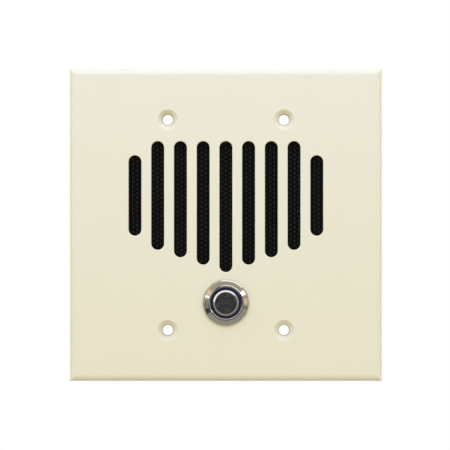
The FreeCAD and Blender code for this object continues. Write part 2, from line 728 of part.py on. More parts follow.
def make_baffle():
    """The moulding behind the cloth that holds the speaker, the microphone and the board."""
    body = new_body("speaker_baffle")
    socket_inner = "(speaker_diameter / 2 + socket_ring_gap)"
    socket_outer = f"({socket_inner} + socket_ring_wall)"
    sleeve_bore = "(post_diameter / 2 + sleeve_gap)"
    port = "(microphone_boot_diameter / 2 + microphone_gap)"

    sketch = facing_sketch(body, "baffle_outline", CLOTH_BACK)
    rounded_rectangle(sketch, minus(CLOTH_SIDE), CLOTH_SIDE, CLOTH_LOW, CLOTH_TOP, CLOTH_CORNER)
    circle(sketch, "0", SPEAKER_Z, "speaker_diameter / 2 - baffle_opening_inset")
    circle(sketch, MICROPHONE_X, MICROPHONE_Z, "microphone_port_diameter / 2")
    for x, z in POST_PLACES:
        circle(sketch, x, z, sleeve_bore)
    pad(body, "baffle_panel", sketch, "baffle_thickness")

    sketch = facing_sketch(body, "lip_outline", BAFFLE_BACK)
    rounded_rectangle(sketch, minus(CLOTH_SIDE), CLOTH_SIDE, CLOTH_LOW, CLOTH_TOP, CLOTH_CORNER)
    rounded_rectangle(sketch, f"-{CLOTH_SIDE} + baffle_lip_width", f"{CLOTH_SIDE} - baffle_lip_width",
                      f"{CLOTH_LOW} + baffle_lip_width", f"{CLOTH_TOP} - baffle_lip_width",
                      f"({CLOTH_CORNER} - baffle_lip_width)")
    pad(body, "baffle_lip", sketch, "baffle_lip_height")

    sketch = facing_sketch(body, "speaker_socket_outline", BAFFLE_BACK)
    circle(sketch, "0", SPEAKER_Z, socket_outer)
    circle(sketch, "0", SPEAKER_Z, socket_inner)
    pad(body, "speaker_socket", sketch, "socket_ring_height")

    sketch = facing_sketch(body, "rib_outlines", BAFFLE_BACK)
    for rise, height in (("-baffle_low_rib", "baffle_low_rib"), ("baffle_high_rib", "baffle_high_rib")):
        near = f"(sqrt({socket_outer} * {socket_outer} - {height} * {height}) - socket_ring_wall / 2)"
        far = f"({CLOTH_SIDE} - baffle_lip_width / 2)"
        low = f"{SPEAKER_Z} + {rise} - baffle_rib_width / 2"
        high = f"{SPEAKER_Z} + {rise} + baffle_rib_width / 2"
        rectangle(sketch, near, far, low, high)
        rectangle(sketch, minus(far), minus(near), low, high)
    pad(body, "ribs", sketch, "baffle_lip_height")

    sketch = facing_sketch(body, "microphone_socket_outline", BAFFLE_BACK)
    circle(sketch, MICROPHONE_X, MICROPHONE_Z, f"{port} + microphone_socket_wall")
    circle(sketch, MICROPHONE_X, MICROPHONE_Z, port)
    pad(body, "microphone_socket", sketch, "microphone_socket_height")

    sketch = facing_sketch(body, "sleeve_outlines", BAFFLE_BACK)
    for x, z in POST_PLACES:
        circle(sketch, x, z, "sleeve_diameter / 2")
        circle(sketch, x, z, sleeve_bore)
    pad(body, "sleeves", sketch, f"{SLEEVE_BACK} - {BAFFLE_BACK}")
    sketch = facing_sketch(body, "sleeve_cap_outlines", f"{SLEEVE_BACK} - sleeve_cap")
    for x, z in POST_PLACES:
        circle(sketch, x, z, "sleeve_diameter / 2")
        circle(sketch, x, z, "screw_diameter / 2 + screw_clearance")
    pad(body, "sleeve_caps", sketch, "sleeve_cap")

    sketch = facing_sketch(body, "clip_boss_outlines", BAFFLE_BACK)
    for x, z in CLIP_PLACES:
        circle(sketch, x, z, "clip_boss_diameter / 2")
    pad(body, "clip_bosses", sketch, f"{FLANGE_BACK} - {BAFFLE_BACK}")
    sketch = facing_sketch(body, "clip_bore_outlines", FLANGE_BACK)
    for x, z in CLIP_PLACES:
        circle(sketch, x, z, "small_screw_diameter / 2 + thread_gap")
    clip_bore = "small_screw_length - clip_thickness + screw_clearance"
    pocket(body, "clip_bores", sketch, clip_bore, back=False)

    post_length = f"({BOARD_FRONT} - {BAFFLE_BACK})"
    draft = f"atan((board_post_foot_diameter - board_post_top_diameter) / 2 / {post_length})"
    sketch = facing_sketch(body, "board_post_outlines", BAFFLE_BACK)
    for x, z in BOARD_HOLES:
        circle(sketch, x, z, "board_post_foot_diameter / 2")
    posts = pad(body, "board_posts", sketch, post_length)
    bind(posts, "TaperAngle", minus(draft))
    sketch = facing_sketch(body, "board_post_bore_outlines", BOARD_FRONT)
    for x, z in BOARD_HOLES:
        circle(sketch, x, z, "small_screw_diameter / 2 + thread_gap")
    pocket(body, "board_post_bores", sketch, "board_post_bore_depth", back=False)


# Screws

def cross_slot(body, name, depth, head_diameter, sink):
    """A cross-shaped driver recess in a head whose top is at that depth."""
    arm = f"({head_diameter} * cross_arm_share)"
    half = f"({head_diameter} * cross_half_width_share)"
    sketch = facing_sketch(body, f"{name}_outline", depth)
    outline(sketch, [
        (minus(half), minus(arm)), (half, minus(arm)), (half, minus(half)), (arm, minus(half)),
        (arm, half), (half, half), (half, arm), (minus(half), arm),
        (minus(half), half), (minus(arm), half), (minus(arm), minus(half)), (minus(half), minus(half)),
    ])
    pocket(body, name, sketch, sink, back=False)


def pan_screw(label, diameter, length, head_diameter, head_height):
    """A pan-head screw with its seat at depth 0, its shank to the front and its head to the back."""
    rounding = f"({head_diameter} * head_round_share)"
    body = turned(label, [
        ("0", minus(length)),
        (f"{diameter} / 2", minus(length)),
        (f"{diameter} / 2", "0"),
        (f"{head_diameter} / 2", "0"),
        (f"{head_diameter} / 2", f"{head_height} * head_side_share", rounding, 1),
        (f"{head_diameter} * head_top_share", head_height),
        ("0", head_height),
    ], kept=False)
    cross_slot(body, f"{label}_recess", head_height, head_diameter, f"{head_height} * cross_depth_share")
    return body


def make_screws():
    """The three sets of screws that hold the baffle, the speaker's clips and the board."""
    baffle_screw = pan_screw("baffle_screw_master", "screw_diameter", "screw_length",
                             "screw_head_diameter", "screw_head_height")
    copies("baffle_screws", baffle_screw, [(x, SLEEVE_BACK, z) for x, z in POST_PLACES])
    clip_screw = pan_screw("clip_screw_master", "small_screw_diameter", "small_screw_length",
                           "small_screw_head_diameter", "small_screw_head_height")
    clip_back = f"({FLANGE_BACK} + clip_thickness)"
    copies("clip_screws", clip_screw, [(x, clip_back, z) for x, z in CLIP_PLACES])
    board_screw = pan_screw("board_screw_master", "small_screw_diameter", "board_screw_length",
                            "small_screw_head_diameter", "small_screw_head_height")
    copies("board_screws", board_screw, [(x, BOARD_BACK, z) for x, z in BOARD_HOLES])


def make_speaker_clips():
    """Four flat clips, each from its boss inwards over the speaker's flange."""
    clip = new_body("speaker_clip_master", kept=False)
    half = "(clip_width / 2)"
    inner = "(speaker_diameter / 2 - clip_overlap)"
    sketch = facing_sketch(clip, "clip_outline")
    outline(sketch, [
        (inner, minus(half)),
        (CLIP_REACH, minus(half), half, 1),
        (f"{CLIP_REACH} + {half}", "0", half, 1),
        (CLIP_REACH, half),
        (inner, half),
    ])
    circle(sketch, CLIP_REACH, "0", "small_screw_diameter / 2 + screw_clearance")
    pad(clip, "clip", sketch, "clip_thickness")
    copies("speaker_clips", clip, [
        ("0", FLANGE_BACK, SPEAKER_Z, way, angle)
        for way in (1, -1)
        for angle in ("clip_angle", "(180 - clip_angle)")
    ])


# Speaker

def speaker_piece(label, corners):
    """A piece turned about the speaker's axis, with depths from the front of its flange."""
    return turned(label, corners, y=SPEAKER_Y, z=SPEAKER_Z)


def make_speaker():
    """The speaker, from its gasket and pressed basket back to its magnet and yoke."""
    outer = "(speaker_diameter / 2)"
    flange_inner = f"({outer} - basket_flange_width)"
    shelf_inner = f"({SHELF_RADIUS} - basket_shelf_width)"
    shelf_back = "(basket_shelf_depth + basket_wall)"
    seat_back = TOP_PLATE_FRONT
    bend = "basket_bend_offset"
    neck = "(coil_former_radius + glue_gap)"

    turned("speaker_gasket", [
        (f"{outer} - gasket_width", "0"),
        (outer, "0"),
        (outer, "gasket_thickness"),
        (f"{outer} - gasket_width", "gasket_thickness"),
    ], y=BAFFLE_BACK, z=SPEAKER_Z)

    basket = speaker_piece("speaker_basket", [
        (outer, "0"),
        (outer, "basket_wall"),
        (f"{flange_inner} + {bend}", "basket_wall"),
        (f"{SHELF_RADIUS} + {bend}", shelf_back),
        (f"{shelf_inner} + {bend}", shelf_back),
        (f"basket_seat_radius + {bend}", seat_back),
        ("basket_bore_radius", seat_back),
        ("basket_bore_radius", "basket_seat_depth"),
        ("basket_seat_radius", "basket_seat_depth"),
        (shelf_inner, "basket_shelf_depth"),
        (SHELF_RADIUS, "basket_shelf_depth"),
        (flange_inner, "0"),
    ])
    window_high = f"({flange_inner} - basket_window_inset)"
    window_low = f"({SHELF_RADIUS} + basket_window_inset)"
    sketch = facing_sketch(basket, "basket_window_outline")
    outline(sketch, [
        (minus("basket_window_inner_half"), window_low),
        ("basket_window_inner_half", window_low),
        ("basket_window_outer_half", window_high),
        (minus("basket_window_outer_half"), window_high),
    ])
    window = pocket(basket, "basket_window", sketch, "basket_shelf_depth")
    around(basket, "basket_windows", window, BASKET_WINDOWS)

    roll = "surround_roll_radius"
    roll_centre = f"({outer} - surround_roll_inset)"
    outer_roll = f"({roll} + surround_thickness)"
    foot = f"sqrt({outer_roll} * {outer_roll} - surround_thickness * surround_thickness)"
    speaker_piece("speaker_surround", [
        (f"{outer} - cone_wall / 2", "0"),
        (f"{outer} - cone_wall / 2", "-surround_thickness"),
        (f"{roll_centre} + {foot}", "-surround_thickness", outer_roll, -1),
        (roll_centre, minus(outer_roll), outer_roll, -1),
        (f"{roll_centre} - {foot}", "-surround_thickness"),
        (f"{roll_centre} - {roll} - surround_glue_width", "-surround_thickness"),
        (f"{roll_centre} - {roll} - surround_glue_width", "0"),
        (f"{roll_centre} - {roll}", "0", roll, 1),
        (roll_centre, minus(roll), roll, 1),
        (f"{roll_centre} + {roll}", "0"),
    ])

    rim = f"({roll_centre} - {roll} - surround_thickness / 2)"
    rim_inner = f"({rim} - surround_glue_width)"
    speaker_piece("speaker_cone", [
        (rim, "0"),
        (rim, "cone_wall"),
        (f"{rim_inner} + cone_wall / 2", "cone_wall"),
        (neck, "cone_depth + cone_neck_wall"),
        (neck, "cone_depth"),
        (rim_inner, "0"),
    ])

    slope = f"(cone_depth / ({rim_inner} - {neck}))"
    cap_foot = f"(({rim_inner} - dust_cap_radius) * {slope})"
    cap_top = f"({cap_foot} - dust_cap_height)"
    cap_curve = "(dust_cap_radius * dust_cap_radius / dust_cap_height / 2 + dust_cap_height / 2)"
    speaker_piece("dust_cap", [
        ("0", cap_top),
        ("0", f"{cap_top} + dust_cap_wall", cap_curve, 1),
        ("dust_cap_radius - dust_cap_wall", f"{cap_foot} + dust_cap_wall / 4"),
        ("dust_cap_radius", cap_foot, cap_curve, -1),
    ])

    former_front = "(cone_depth - coil_former_overlap)"
    former_back = f"({former_front} + coil_former_length)"
    speaker_piece("coil_former", [
        ("coil_former_radius - coil_former_wall", former_front),
        ("coil_former_radius", former_front),
        ("coil_former_radius", former_back),
        ("coil_former_radius - coil_former_wall", former_back),
    ])
    coil_back = f"({former_back} - coil_tail)"
    speaker_piece("voice_coil", [
        ("coil_former_radius", f"{coil_back} - coil_length"),
        ("coil_former_radius + coil_thickness", f"{coil_back} - coil_length"),
        ("coil_former_radius + coil_thickness", coil_back),
        ("coil_former_radius", coil_back),
    ])

    make_spider(neck, shelf_inner)

    bore = "(coil_former_radius + coil_thickness + coil_gap)"
    speaker_piece("speaker_top_plate", [
        (bore, TOP_PLATE_FRONT),
        ("magnet_plate_radius", TOP_PLATE_FRONT),
        ("magnet_plate_radius", MAGNET_FRONT),
        (bore, MAGNET_FRONT),
    ])
    speaker_piece("speaker_magnet", [
        ("magnet_bore_radius", MAGNET_FRONT),
        ("magnet_radius - yoke_chamfer", MAGNET_FRONT),
        ("magnet_radius", f"{MAGNET_FRONT} + yoke_chamfer"),
        ("magnet_radius", f"{YOKE_FRONT} - yoke_chamfer"),
        ("magnet_radius - yoke_chamfer", YOKE_FRONT),
        ("magnet_bore_radius", YOKE_FRONT),
    ])
    pole = "(coil_former_radius - coil_former_wall - pole_gap)"
    pole_front = f"({TOP_PLATE_FRONT} + pole_recess)"
    speaker_piece("speaker_yoke", [
        ("0", pole_front),
        (f"{pole} - yoke_chamfer", pole_front),
        (pole, f"{pole_front} + yoke_chamfer"),
        (pole, YOKE_FRONT),
        ("magnet_plate_radius", YOKE_FRONT),
        ("magnet_plate_radius", f"{YOKE_BACK} - yoke_chamfer"),
        ("magnet_plate_radius - yoke_chamfer", YOKE_BACK),
        ("0", YOKE_BACK),
    ])


def make_spider(neck, shelf_inner):
    """The corrugated ring that centres the coil, glued to the basket's shelf."""
    flat_end = f"({shelf_inner} + spider_thickness / 2)"
    step = f"(({flat_end} - {neck}) / {2 * SPIDER_WAVES + 1})"
    front = "basket_shelf_depth - spider_thickness"
    front_side = []
    for crease in range(1, 2 * SPIDER_WAVES + 1):
        rise = "(-spider_wave_height)" if crease % 2 else "spider_wave_height"
        front_side.append((f"{flat_end} - {crease} * {step}", f"{front} + {rise}"))
    back_side = [(radius, f"{depth} + spider_thickness") for radius, depth in reversed(front_side)]
    outer = f"({SHELF_RADIUS} - spider_thickness)"
    speaker_piece("speaker_spider", [
        (outer, "basket_shelf_depth"),
        (outer, front),
        (flat_end, front),
        *front_side,
        (neck, front),
        (neck, "basket_shelf_depth"),
        *back_side,
        (flat_end, "basket_shelf_depth"),
    ])


def make_tag_board():
    """The insulating strip with two solder tags on the basket's shelf."""
    near = f"({SHELF_RADIUS} - basket_shelf_width + 2 * basket_bend_offset)"
    far = f"({near} + tag_board_length)"
    depth = f"({SPEAKER_Y} + basket_shelf_depth + basket_wall)"
    half = "(tag_board_width / 2)"
    strip = new_body("speaker_tag_board", y=depth, z=SPEAKER_Z)
    sketch = facing_sketch(strip, "tag_board_outline")
    rectangle(sketch, minus(far), minus(near), minus(half), half)
    pad(strip, "tag_board", sketch, "tag_board_thickness")

    tags = new_body("speaker_tags", y=f"{depth} + tag_board_thickness", z=SPEAKER_Z)
    tags.AllowCompound = True
    for side, sign in (("lower", "-"), ("upper", "")):
        middle = f"({sign}tag_spacing / 2)"
        low = f"{middle} - tag_width / 2"
        high = f"{middle} + tag_width / 2"
        sketch = facing_sketch(tags, f"{side}_tag_foot_outline")
        rectangle(sketch, f"-{far} + tag_thickness", f"-{near} - 2 * tag_thickness", low, high)
        pad(tags, f"{side}_tag_foot", sketch, "tag_thickness")
        sketch = facing_sketch(tags, f"{side}_tag_blade_outline")
        rectangle(sketch, f"-{far} + tag_thickness", f"-{far} + 2 * tag_thickness", low, high)
        pad(tags, f"{side}_tag_blade", sketch, "tag_height")


# Microphone

def make_microphone():
    """The microphone's capsule in its rubber boot."""
    boot_back = "microphone_boot_length"
    bore = "(microphone_diameter / 2 + microphone_gap)"
    turned("microphone_boot", [
        ("microphone_port_diameter / 2", "0"),
        ("microphone_boot_diameter / 2", "0"),
        ("microphone_boot_diameter / 2", boot_back),
        (bore, boot_back),
        (bore, "microphone_boot_front"),
        ("microphone_port_diameter / 2", "microphone_boot_front"),
    ], y=BAFFLE_BACK, x=MICROPHONE_X, z=MICROPHONE_Z)
    rim = "(microphone_boot_front / 2)"
    end = "microphone_length"
    turned("microphone_capsule", [
        ("0", "0"),
        ("microphone_diameter / 2", "0"),
        ("microphone_diameter / 2", end),
        (f"microphone_diameter / 2 - {rim}", end),
        (f"microphone_diameter / 2 - {rim}", f"{end} - {rim}"),
        ("0", f"{end} - {rim}"),
    ], y=f"{BAFFLE_BACK} + microphone_boot_front", x=MICROPHONE_X, z=MICROPHONE_Z)


# Circuit board and what stands on it

def make_circuit_board():
    """The bare board with its four screw holes."""
    body = new_body("circuit_board")
    sketch = facing_sketch(body, "board_outline", BOARD_FRONT)
    rounded_rectangle(sketch, minus("board_width / 2"), "board_width / 2",
                      BOARD_LOW, BOARD_TOP, "board_corner")
    for x, z in BOARD_HOLES:
        circle(sketch, x, z, "board_hole_diameter / 2")
    pad(body, "board", sketch, "board_thickness")


def make_terminals():
    """The block of screw terminals, with a clamp and a screw to each pole."""
    half_length = f"({TERMINAL_POLES} * terminal_pitch / 2 + terminal_end_wall / 2)"
    low = f"({BOARD_TOP} - terminal_edge_inset - terminal_height)"
    poles = [
        f"({index} * terminal_pitch - {(TERMINAL_POLES - 1) / 2} * terminal_pitch)"
        for index in range(TERMINAL_POLES)
    ]
    body = new_body("terminal_block", y=BOARD_BACK, z=low)
    sketch = sketch_on(body, "terminal_block_section", "YZ_Plane", minus(half_length))
    outline(sketch, [
        ("0", "0"),
        ("terminal_depth - terminal_bevel", "0"),
        ("terminal_depth", "terminal_bevel"),
        ("terminal_depth", "terminal_slope_low"),
        ("terminal_slope_high", "terminal_height"),
        ("0", "terminal_height"),
    ])
    pad(body, "terminal_block_bar", sketch, f"{half_length} * 2", back=False)
    sketch = sketch_on(body, "terminal_entry_outlines", "XY_Plane", "terminal_height")
    for pole in poles:
        rectangle(sketch, f"{pole} - terminal_entry_width / 2", f"{pole} + terminal_entry_width / 2",
                  "terminal_entry_low", "terminal_entry_high")
    pocket(body, "terminal_entries", sketch, "terminal_entry_depth")
    clamp_middle = "(terminal_height - terminal_entry_depth + terminal_gap + terminal_clamp_length / 2)"
    sketch = facing_sketch(body, "terminal_well_outlines", "terminal_depth")
    for pole in poles:
        circle(sketch, pole, clamp_middle, "terminal_well_diameter / 2")
    pocket(body, "terminal_wells", sketch, "terminal_depth - terminal_entry_high", back=False)

    clamp = new_body("terminal_clamp_master", kept=False)
    half_width = "(terminal_entry_width / 2 - terminal_gap)"
    clamp_depth = "(terminal_entry_high - terminal_entry_low - 2 * terminal_gap)"
    sketch = facing_sketch(clamp, "clamp_outline")
    rectangle(sketch, minus(half_width), half_width,
              "-terminal_clamp_length / 2", "terminal_clamp_length / 2")
    pad(clamp, "clamp_cage", sketch, clamp_depth)
    sketch = sketch_on(clamp, "clamp_opening_outline", "XY_Plane", "terminal_clamp_length / 2")
    rectangle(sketch, f"-{half_width} + terminal_clamp_wall", f"{half_width} - terminal_clamp_wall",
              "terminal_clamp_wall", f"{clamp_depth} - terminal_clamp_wall")
    pocket(clamp, "clamp_opening", sketch)
    sketch = facing_sketch(clamp, "clamp_bore_outline", clamp_depth)
    circle(sketch, "0", "0", "terminal_screw_diameter / 2 + thread_gap")
    pocket(clamp, "clamp_bore", sketch, "terminal_clamp_wall", back=False)
    clamp_y = f"({BOARD_BACK} + terminal_entry_low + terminal_gap)"
    clamp_z = f"({low} + {clamp_middle})"
    copies("terminal_clamps", clamp, [(pole, clamp_y, clamp_z) for pole in poles])

    screw_seat = "(terminal_depth - terminal_screw_sink - terminal_screw_head_height)"
    shank = f"({screw_seat} - terminal_entry_high + terminal_gap + 2 * terminal_clamp_wall)"
    head = "terminal_screw_head_diameter"
    screw = turned("terminal_screw_master", [
        ("0", minus(shank)),
        ("terminal_screw_diameter / 2", minus(shank)),
        ("terminal_screw_diameter / 2", "0"),
        (f"{head} / 2", "0"),
        (f"{head} / 2", "terminal_screw_head_height"),
        ("0", "terminal_screw_head_height"),
    ], kept=False)
    sketch = facing_sketch(screw, "terminal_screw_slot_outline", "terminal_screw_head_height")
    rectangle(sketch, minus(head), head, "-terminal_screw_slot_width / 2", "terminal_screw_slot_width / 2")
    pocket(screw, "terminal_screw_slot", sketch, "terminal_screw_slot_depth", back=False)
    screw_y = f"({BOARD_BACK} + {screw_seat})"
    copies("terminal_screws", screw, [(pole, screw_y, clamp_z) for pole in poles])


def capacitor(label, diameter, height):
    """A radial can with the groove that crimps its foot."""
    groove = "capacitor_groove"
    foot = f"({height} * capacitor_foot_share)"
    return turned(label, [
        ("0", "0"),
        (f"{diameter} / 2", "0"),
        (f"{diameter} / 2", foot),
        (f"{diameter} / 2 - {groove}", f"{foot} + {groove}"),
        (f"{diameter} / 2", f"{foot} + 2 * {groove}"),
        (f"{diameter} / 2", f"{height} - {groove}", groove, 1),
        (f"{diameter} / 2 - {groove}", height),
        ("0", height),
    ], kept=False)


def make_capacitors():
    """Two large and two small capacitors at the left of the board."""
    large = capacitor("large_capacitor_master", "large_capacitor_diameter", "large_capacitor_height")
    copies("large_capacitors", large, [
        (LARGE_CAPACITOR_X, BOARD_BACK, f"({SPEAKER_Z} + large_capacitor_spacing / 2)"),
        (LARGE_CAPACITOR_X, BOARD_BACK, f"({SPEAKER_Z} - large_capacitor_spacing / 2)"),
    ])
    small = capacitor("small_capacitor_master", "small_capacitor_diameter", "small_capacitor_height")
    copies("small_capacitors", small, [
        (SMALL_CAPACITOR_X, BOARD_BACK, f"({SPEAKER_Z} + small_capacitor_spacing / 2)"),
        (SMALL_CAPACITOR_X, BOARD_BACK, f"({SPEAKER_Z} - small_capacitor_spacing / 2)"),
    ])


def make_amplifier():
    """The amplifier chip and its two rows of legs."""
    chip = new_body("amplifier_chip", x=CHIP_X, y=f"({BOARD_BACK} + chip_stand_off)", z=SPEAKER_Z)
    sketch = facing_sketch(chip, "chip_outline")
    rectangle(sketch, "-chip_length / 2", "chip_length / 2", "-chip_width / 2", "chip_width / 2")
    pad(chip, "chip_body", sketch, "chip_height")
    sketch = facing_sketch(chip, "chip_notch_outline", "chip_height")
    circle(sketch, "-chip_length / 2", "0", "chip_notch_radius")
    pocket(chip, "chip_notch", sketch, "chip_notch_depth", back=False)

    leg = new_body("chip_leg_master", kept=False)
    knee = "(chip_stand_off + chip_height / 2)"
    reach = "(chip_row_spacing / 2 - chip_width / 2)"
    sketch = sketch_on(leg, "chip_leg_section", "YZ_Plane", "-chip_leg_width / 2")
    outline(sketch, [
        ("0", f"{reach} - chip_leg_thickness"),
        ("0", reach),
        (f"{knee} + chip_leg_thickness", reach),
        (f"{knee} + chip_leg_thickness", "0"),
        (knee, "0"),
        (knee, f"{reach} - chip_leg_thickness"),
    ])
    pad(leg, "chip_leg", sketch, "chip_leg_width", back=False)
    row = [
        f"({CHIP_X} + {index - (CHIP_LEGS_EACH_SIDE - 1) / 2} * chip_leg_pitch)"
        for index in range(CHIP_LEGS_EACH_SIDE)
    ]
    upper = [(x, BOARD_BACK, f"({SPEAKER_Z} + chip_width / 2)") for x in row]
    lower = [(x, BOARD_BACK, f"({SPEAKER_Z} - chip_width / 2)", 1, "180") for x in row]
    copies("chip_legs", leg, upper + lower)


def make_resistors():
    """A column of resistors, each with its wire bent down to the board at both ends."""
    resistor = new_body("resistor_master", kept=False)
    half = "(resistor_length / 2)"
    waist = "(resistor_length / 2 - resistor_end_length)"
    turn(resistor, "resistor_turning", [
        (minus(half), "0"),
        (half, "0"),
        (half, "resistor_diameter / 2"),
        (waist, "resistor_diameter / 2"),
        (waist, "resistor_waist_diameter / 2"),
        (minus(waist), "resistor_waist_diameter / 2"),
        (minus(waist), "resistor_diameter / 2"),
        (minus(half), "resistor_diameter / 2"),
    ], axis="H_Axis")
    foot = "(resistor_lead_spacing / 2)"
    bend = "resistor_lead_bend"
    route = sketch_on(resistor, "resistor_lead_route", "XY_Plane")
    outline(route, [
        (minus(foot), "-resistor_diameter / 2"),
        (minus(foot), minus(bend), bend, -1),
        (f"-{foot} + {bend}", "0"),
        (f"{foot} - {bend}", "0", bend, -1),
        (foot, minus(bend)),
        (foot, "-resistor_diameter / 2"),
    ], closed=False)
    section = facing_sketch(resistor, "resistor_lead_section", "(-resistor_diameter / 2)")
    circle(section, minus(foot), "0", "resistor_lead_diameter / 2")
    lead = resistor.newObject("PartDesign::AdditivePipe", "resistor_lead")
    lead.Profile = section
    lead.Spine = route
    resistor.Tip = lead
    x = f"({CHIP_X} + chip_length / 2 + resistor_lead_spacing / 2 + resistor_distance)"
    y = f"({BOARD_BACK} + resistor_diameter / 2)"
    copies("resistors", resistor, [
        (x, y, f"({SPEAKER_Z} + {row - (RESISTORS - 1) / 2} * resistor_pitch)") for row in range(RESISTORS)
    ])


def make_wire_sockets():
    """Three two-way sockets for the speaker's, the microphone's and the button's leads."""
    socket = new_body("wire_socket_master", kept=False)
    sketch = facing_sketch(socket, "socket_outline")
    rectangle(sketch, "-socket_width / 2", "socket_width / 2", "-socket_height / 2", "socket_height / 2")
    pad(socket, "socket_block", sketch, "socket_depth")
    sketch = facing_sketch(socket, "socket_cavity_outline", "socket_depth")
    rectangle(sketch, "-socket_width / 2 + socket_wall", "socket_width / 2 - socket_wall",
              "-socket_height / 2 + socket_wall", "socket_height / 2 - socket_wall")
    pocket(socket, "socket_cavity", sketch, "socket_depth - socket_wall", back=False)
    row = f"({BOARD_LOW} + socket_height)"
    columns = ("(-socket_spacing)", "0", "socket_spacing")
    copies("wire_sockets", socket, [(x, BOARD_BACK, row) for x in columns])

    pins = new_body("socket_pin_master", kept=False)
    pins.AllowCompound = True
    half_pin = "(socket_pin_width / 2)"
    sketch = facing_sketch(pins, "socket_pin_outline")
    for sign in ("-", ""):
        middle = f"({sign}socket_pin_pitch / 2)"
        rectangle(sketch, f"{middle} - {half_pin}", f"{middle} + {half_pin}", minus(half_pin), half_pin)
    pad(pins, "socket_pin_pair", sketch, "socket_pin_length - socket_wall")
    copies("socket_pins", pins, [(x, f"({BOARD_BACK} + socket_wall)", row) for x in columns])


# Call button

def button_piece(label, corners):
    """A piece turned about the button's axis, with depths from the underside of its head."""
    return turned(label, corners, y=BUTTON_Y, z=BUTTON_Z)


def make_button_barrel():
    """The barrel with its conical head, and the seal between the head and the plate."""
    head = "(button_head_diameter / 2)"
    thread = "(barrel_diameter / 2)"
    bore = "(bezel_crown_radius - bezel_inner_round)"
    button_piece("button_barrel", [
        (thread, "0"),
        (head, "0"),
        (head, "-button_head_edge"),
        ("bezel_crown_radius", CROWN, "bezel_inner_round", -1),
        (bore, RING_FRONT),
        (bore, "barrel_shoulder_depth"),
        ("barrel_bore_radius", "barrel_shoulder_depth"),
        ("barrel_bore_radius", "barrel_length"),
        (thread, "barrel_length"),
    ])
    turned("button_seal", [
        (f"{head} - seal_inset - seal_width", "-seal_thickness"),
        (f"{head} - seal_inset", "-seal_thickness"),
        (f"{head} - seal_inset", "0"),
        (f"{head} - seal_inset - seal_width", "0"),
    ], y=FRONT, z=BUTTON_Z)


def make_button_fixings():
    """The toothed washer and the nut that hold the barrel in the plate."""
    thread = "(barrel_diameter / 2 + nut_thread_gap)"
    rim = "(lock_washer_diameter / 2)"
    washer = turned("button_lock_washer", [
        (thread, "0"),
        (rim, "0"),
        (rim, "lock_washer_thickness"),
        (thread, "lock_washer_thickness"),
    ], y=RECESS_FLOOR, z=BUTTON_Z)
    sketch = facing_sketch(washer, "washer_gap_outline")
    outline(sketch, [
        ("-lock_washer_tooth / 2", f"{rim} - lock_washer_tooth"),
        ("lock_washer_tooth / 2", f"{rim} - lock_washer_tooth"),
        ("lock_washer_tooth", f"{rim} + lock_washer_tooth"),
        ("-lock_washer_tooth", f"{rim} + lock_washer_tooth"),
    ])
    gap = pocket(washer, "washer_gap", sketch, "lock_washer_thickness")
    around(washer, "washer_gaps", gap, WASHER_TEETH)

    nut = new_body("button_nut", y=f"({RECESS_FLOOR} + lock_washer_thickness)", z=BUTTON_Z)
    sketch = facing_sketch(nut, "nut_outline")
    flat = "(nut_across_flats / 2)"
    corner = "(nut_across_flats / 2 * tan(30 deg))"
    point = "(nut_across_flats / 2 / cos(30 deg))"
    outline(sketch, [
        (minus(corner), minus(flat)), (corner, minus(flat)), (point, "0"),
        (corner, flat), (minus(corner), flat), (minus(point), "0"),
    ])
    circle(sketch, "0", "0", thread)
    pad(nut, "nut_hexagon", sketch, "nut_thickness")
    turn(nut, "nut_chamfer", [
        (f"{point} - nut_chamfer_width", "nut_thickness"),
        (f"{point} + nut_chamfer_width", "nut_thickness"),
        (f"{point} + nut_chamfer_width", "nut_thickness - 2 * nut_chamfer_depth"),
    ], kind="Groove")


def make_light_ring():
    """The translucent ring round the cap, with the lamps that light its skirt from behind."""
    outer = "(bezel_crown_radius - bezel_inner_round - ring_fit_gap)"
    inner = "(cap_radius + cap_gap)"
    skirt_outer = "(barrel_bore_radius - ring_fit_gap)"
    skirt_inner = f"({skirt_outer} - ring_skirt_wall)"
    button_piece("light_ring", [
        (inner, RING_FRONT),
        (outer, RING_FRONT),
        (outer, "barrel_shoulder_depth"),
        (skirt_outer, "barrel_shoulder_depth"),
        (skirt_outer, RING_BACK),
        (skirt_inner, RING_BACK),
        (skirt_inner, RING_STEP),
        (inner, RING_STEP),
    ])
    board_inner = "(housing_bore_radius + ring_fit_gap)"
    button_piece("lamp_board", [
        (board_inner, LAMP_BOARD_FRONT),
        (skirt_outer, LAMP_BOARD_FRONT),
        (skirt_outer, HOUSING_FRONT),
        (board_inner, HOUSING_FRONT),
    ])
    lamps = new_body("ring_lamps", y=BUTTON_Y, z=BUTTON_Z)
    lamps.AllowCompound = True
    middle = f"({skirt_outer} - ring_skirt_wall / 2)"
    sketch = facing_sketch(lamps, "lamp_outline", LAMP_BOARD_FRONT)
    rectangle(sketch, "-lamp_length / 2", "lamp_length / 2",
              f"{middle} - lamp_width / 2", f"{middle} + lamp_width / 2")
    lamp = pad(lamps, "lamp", sketch, "lamp_height", back=False)
    around(lamps, "lamps", lamp, RING_LAMPS)


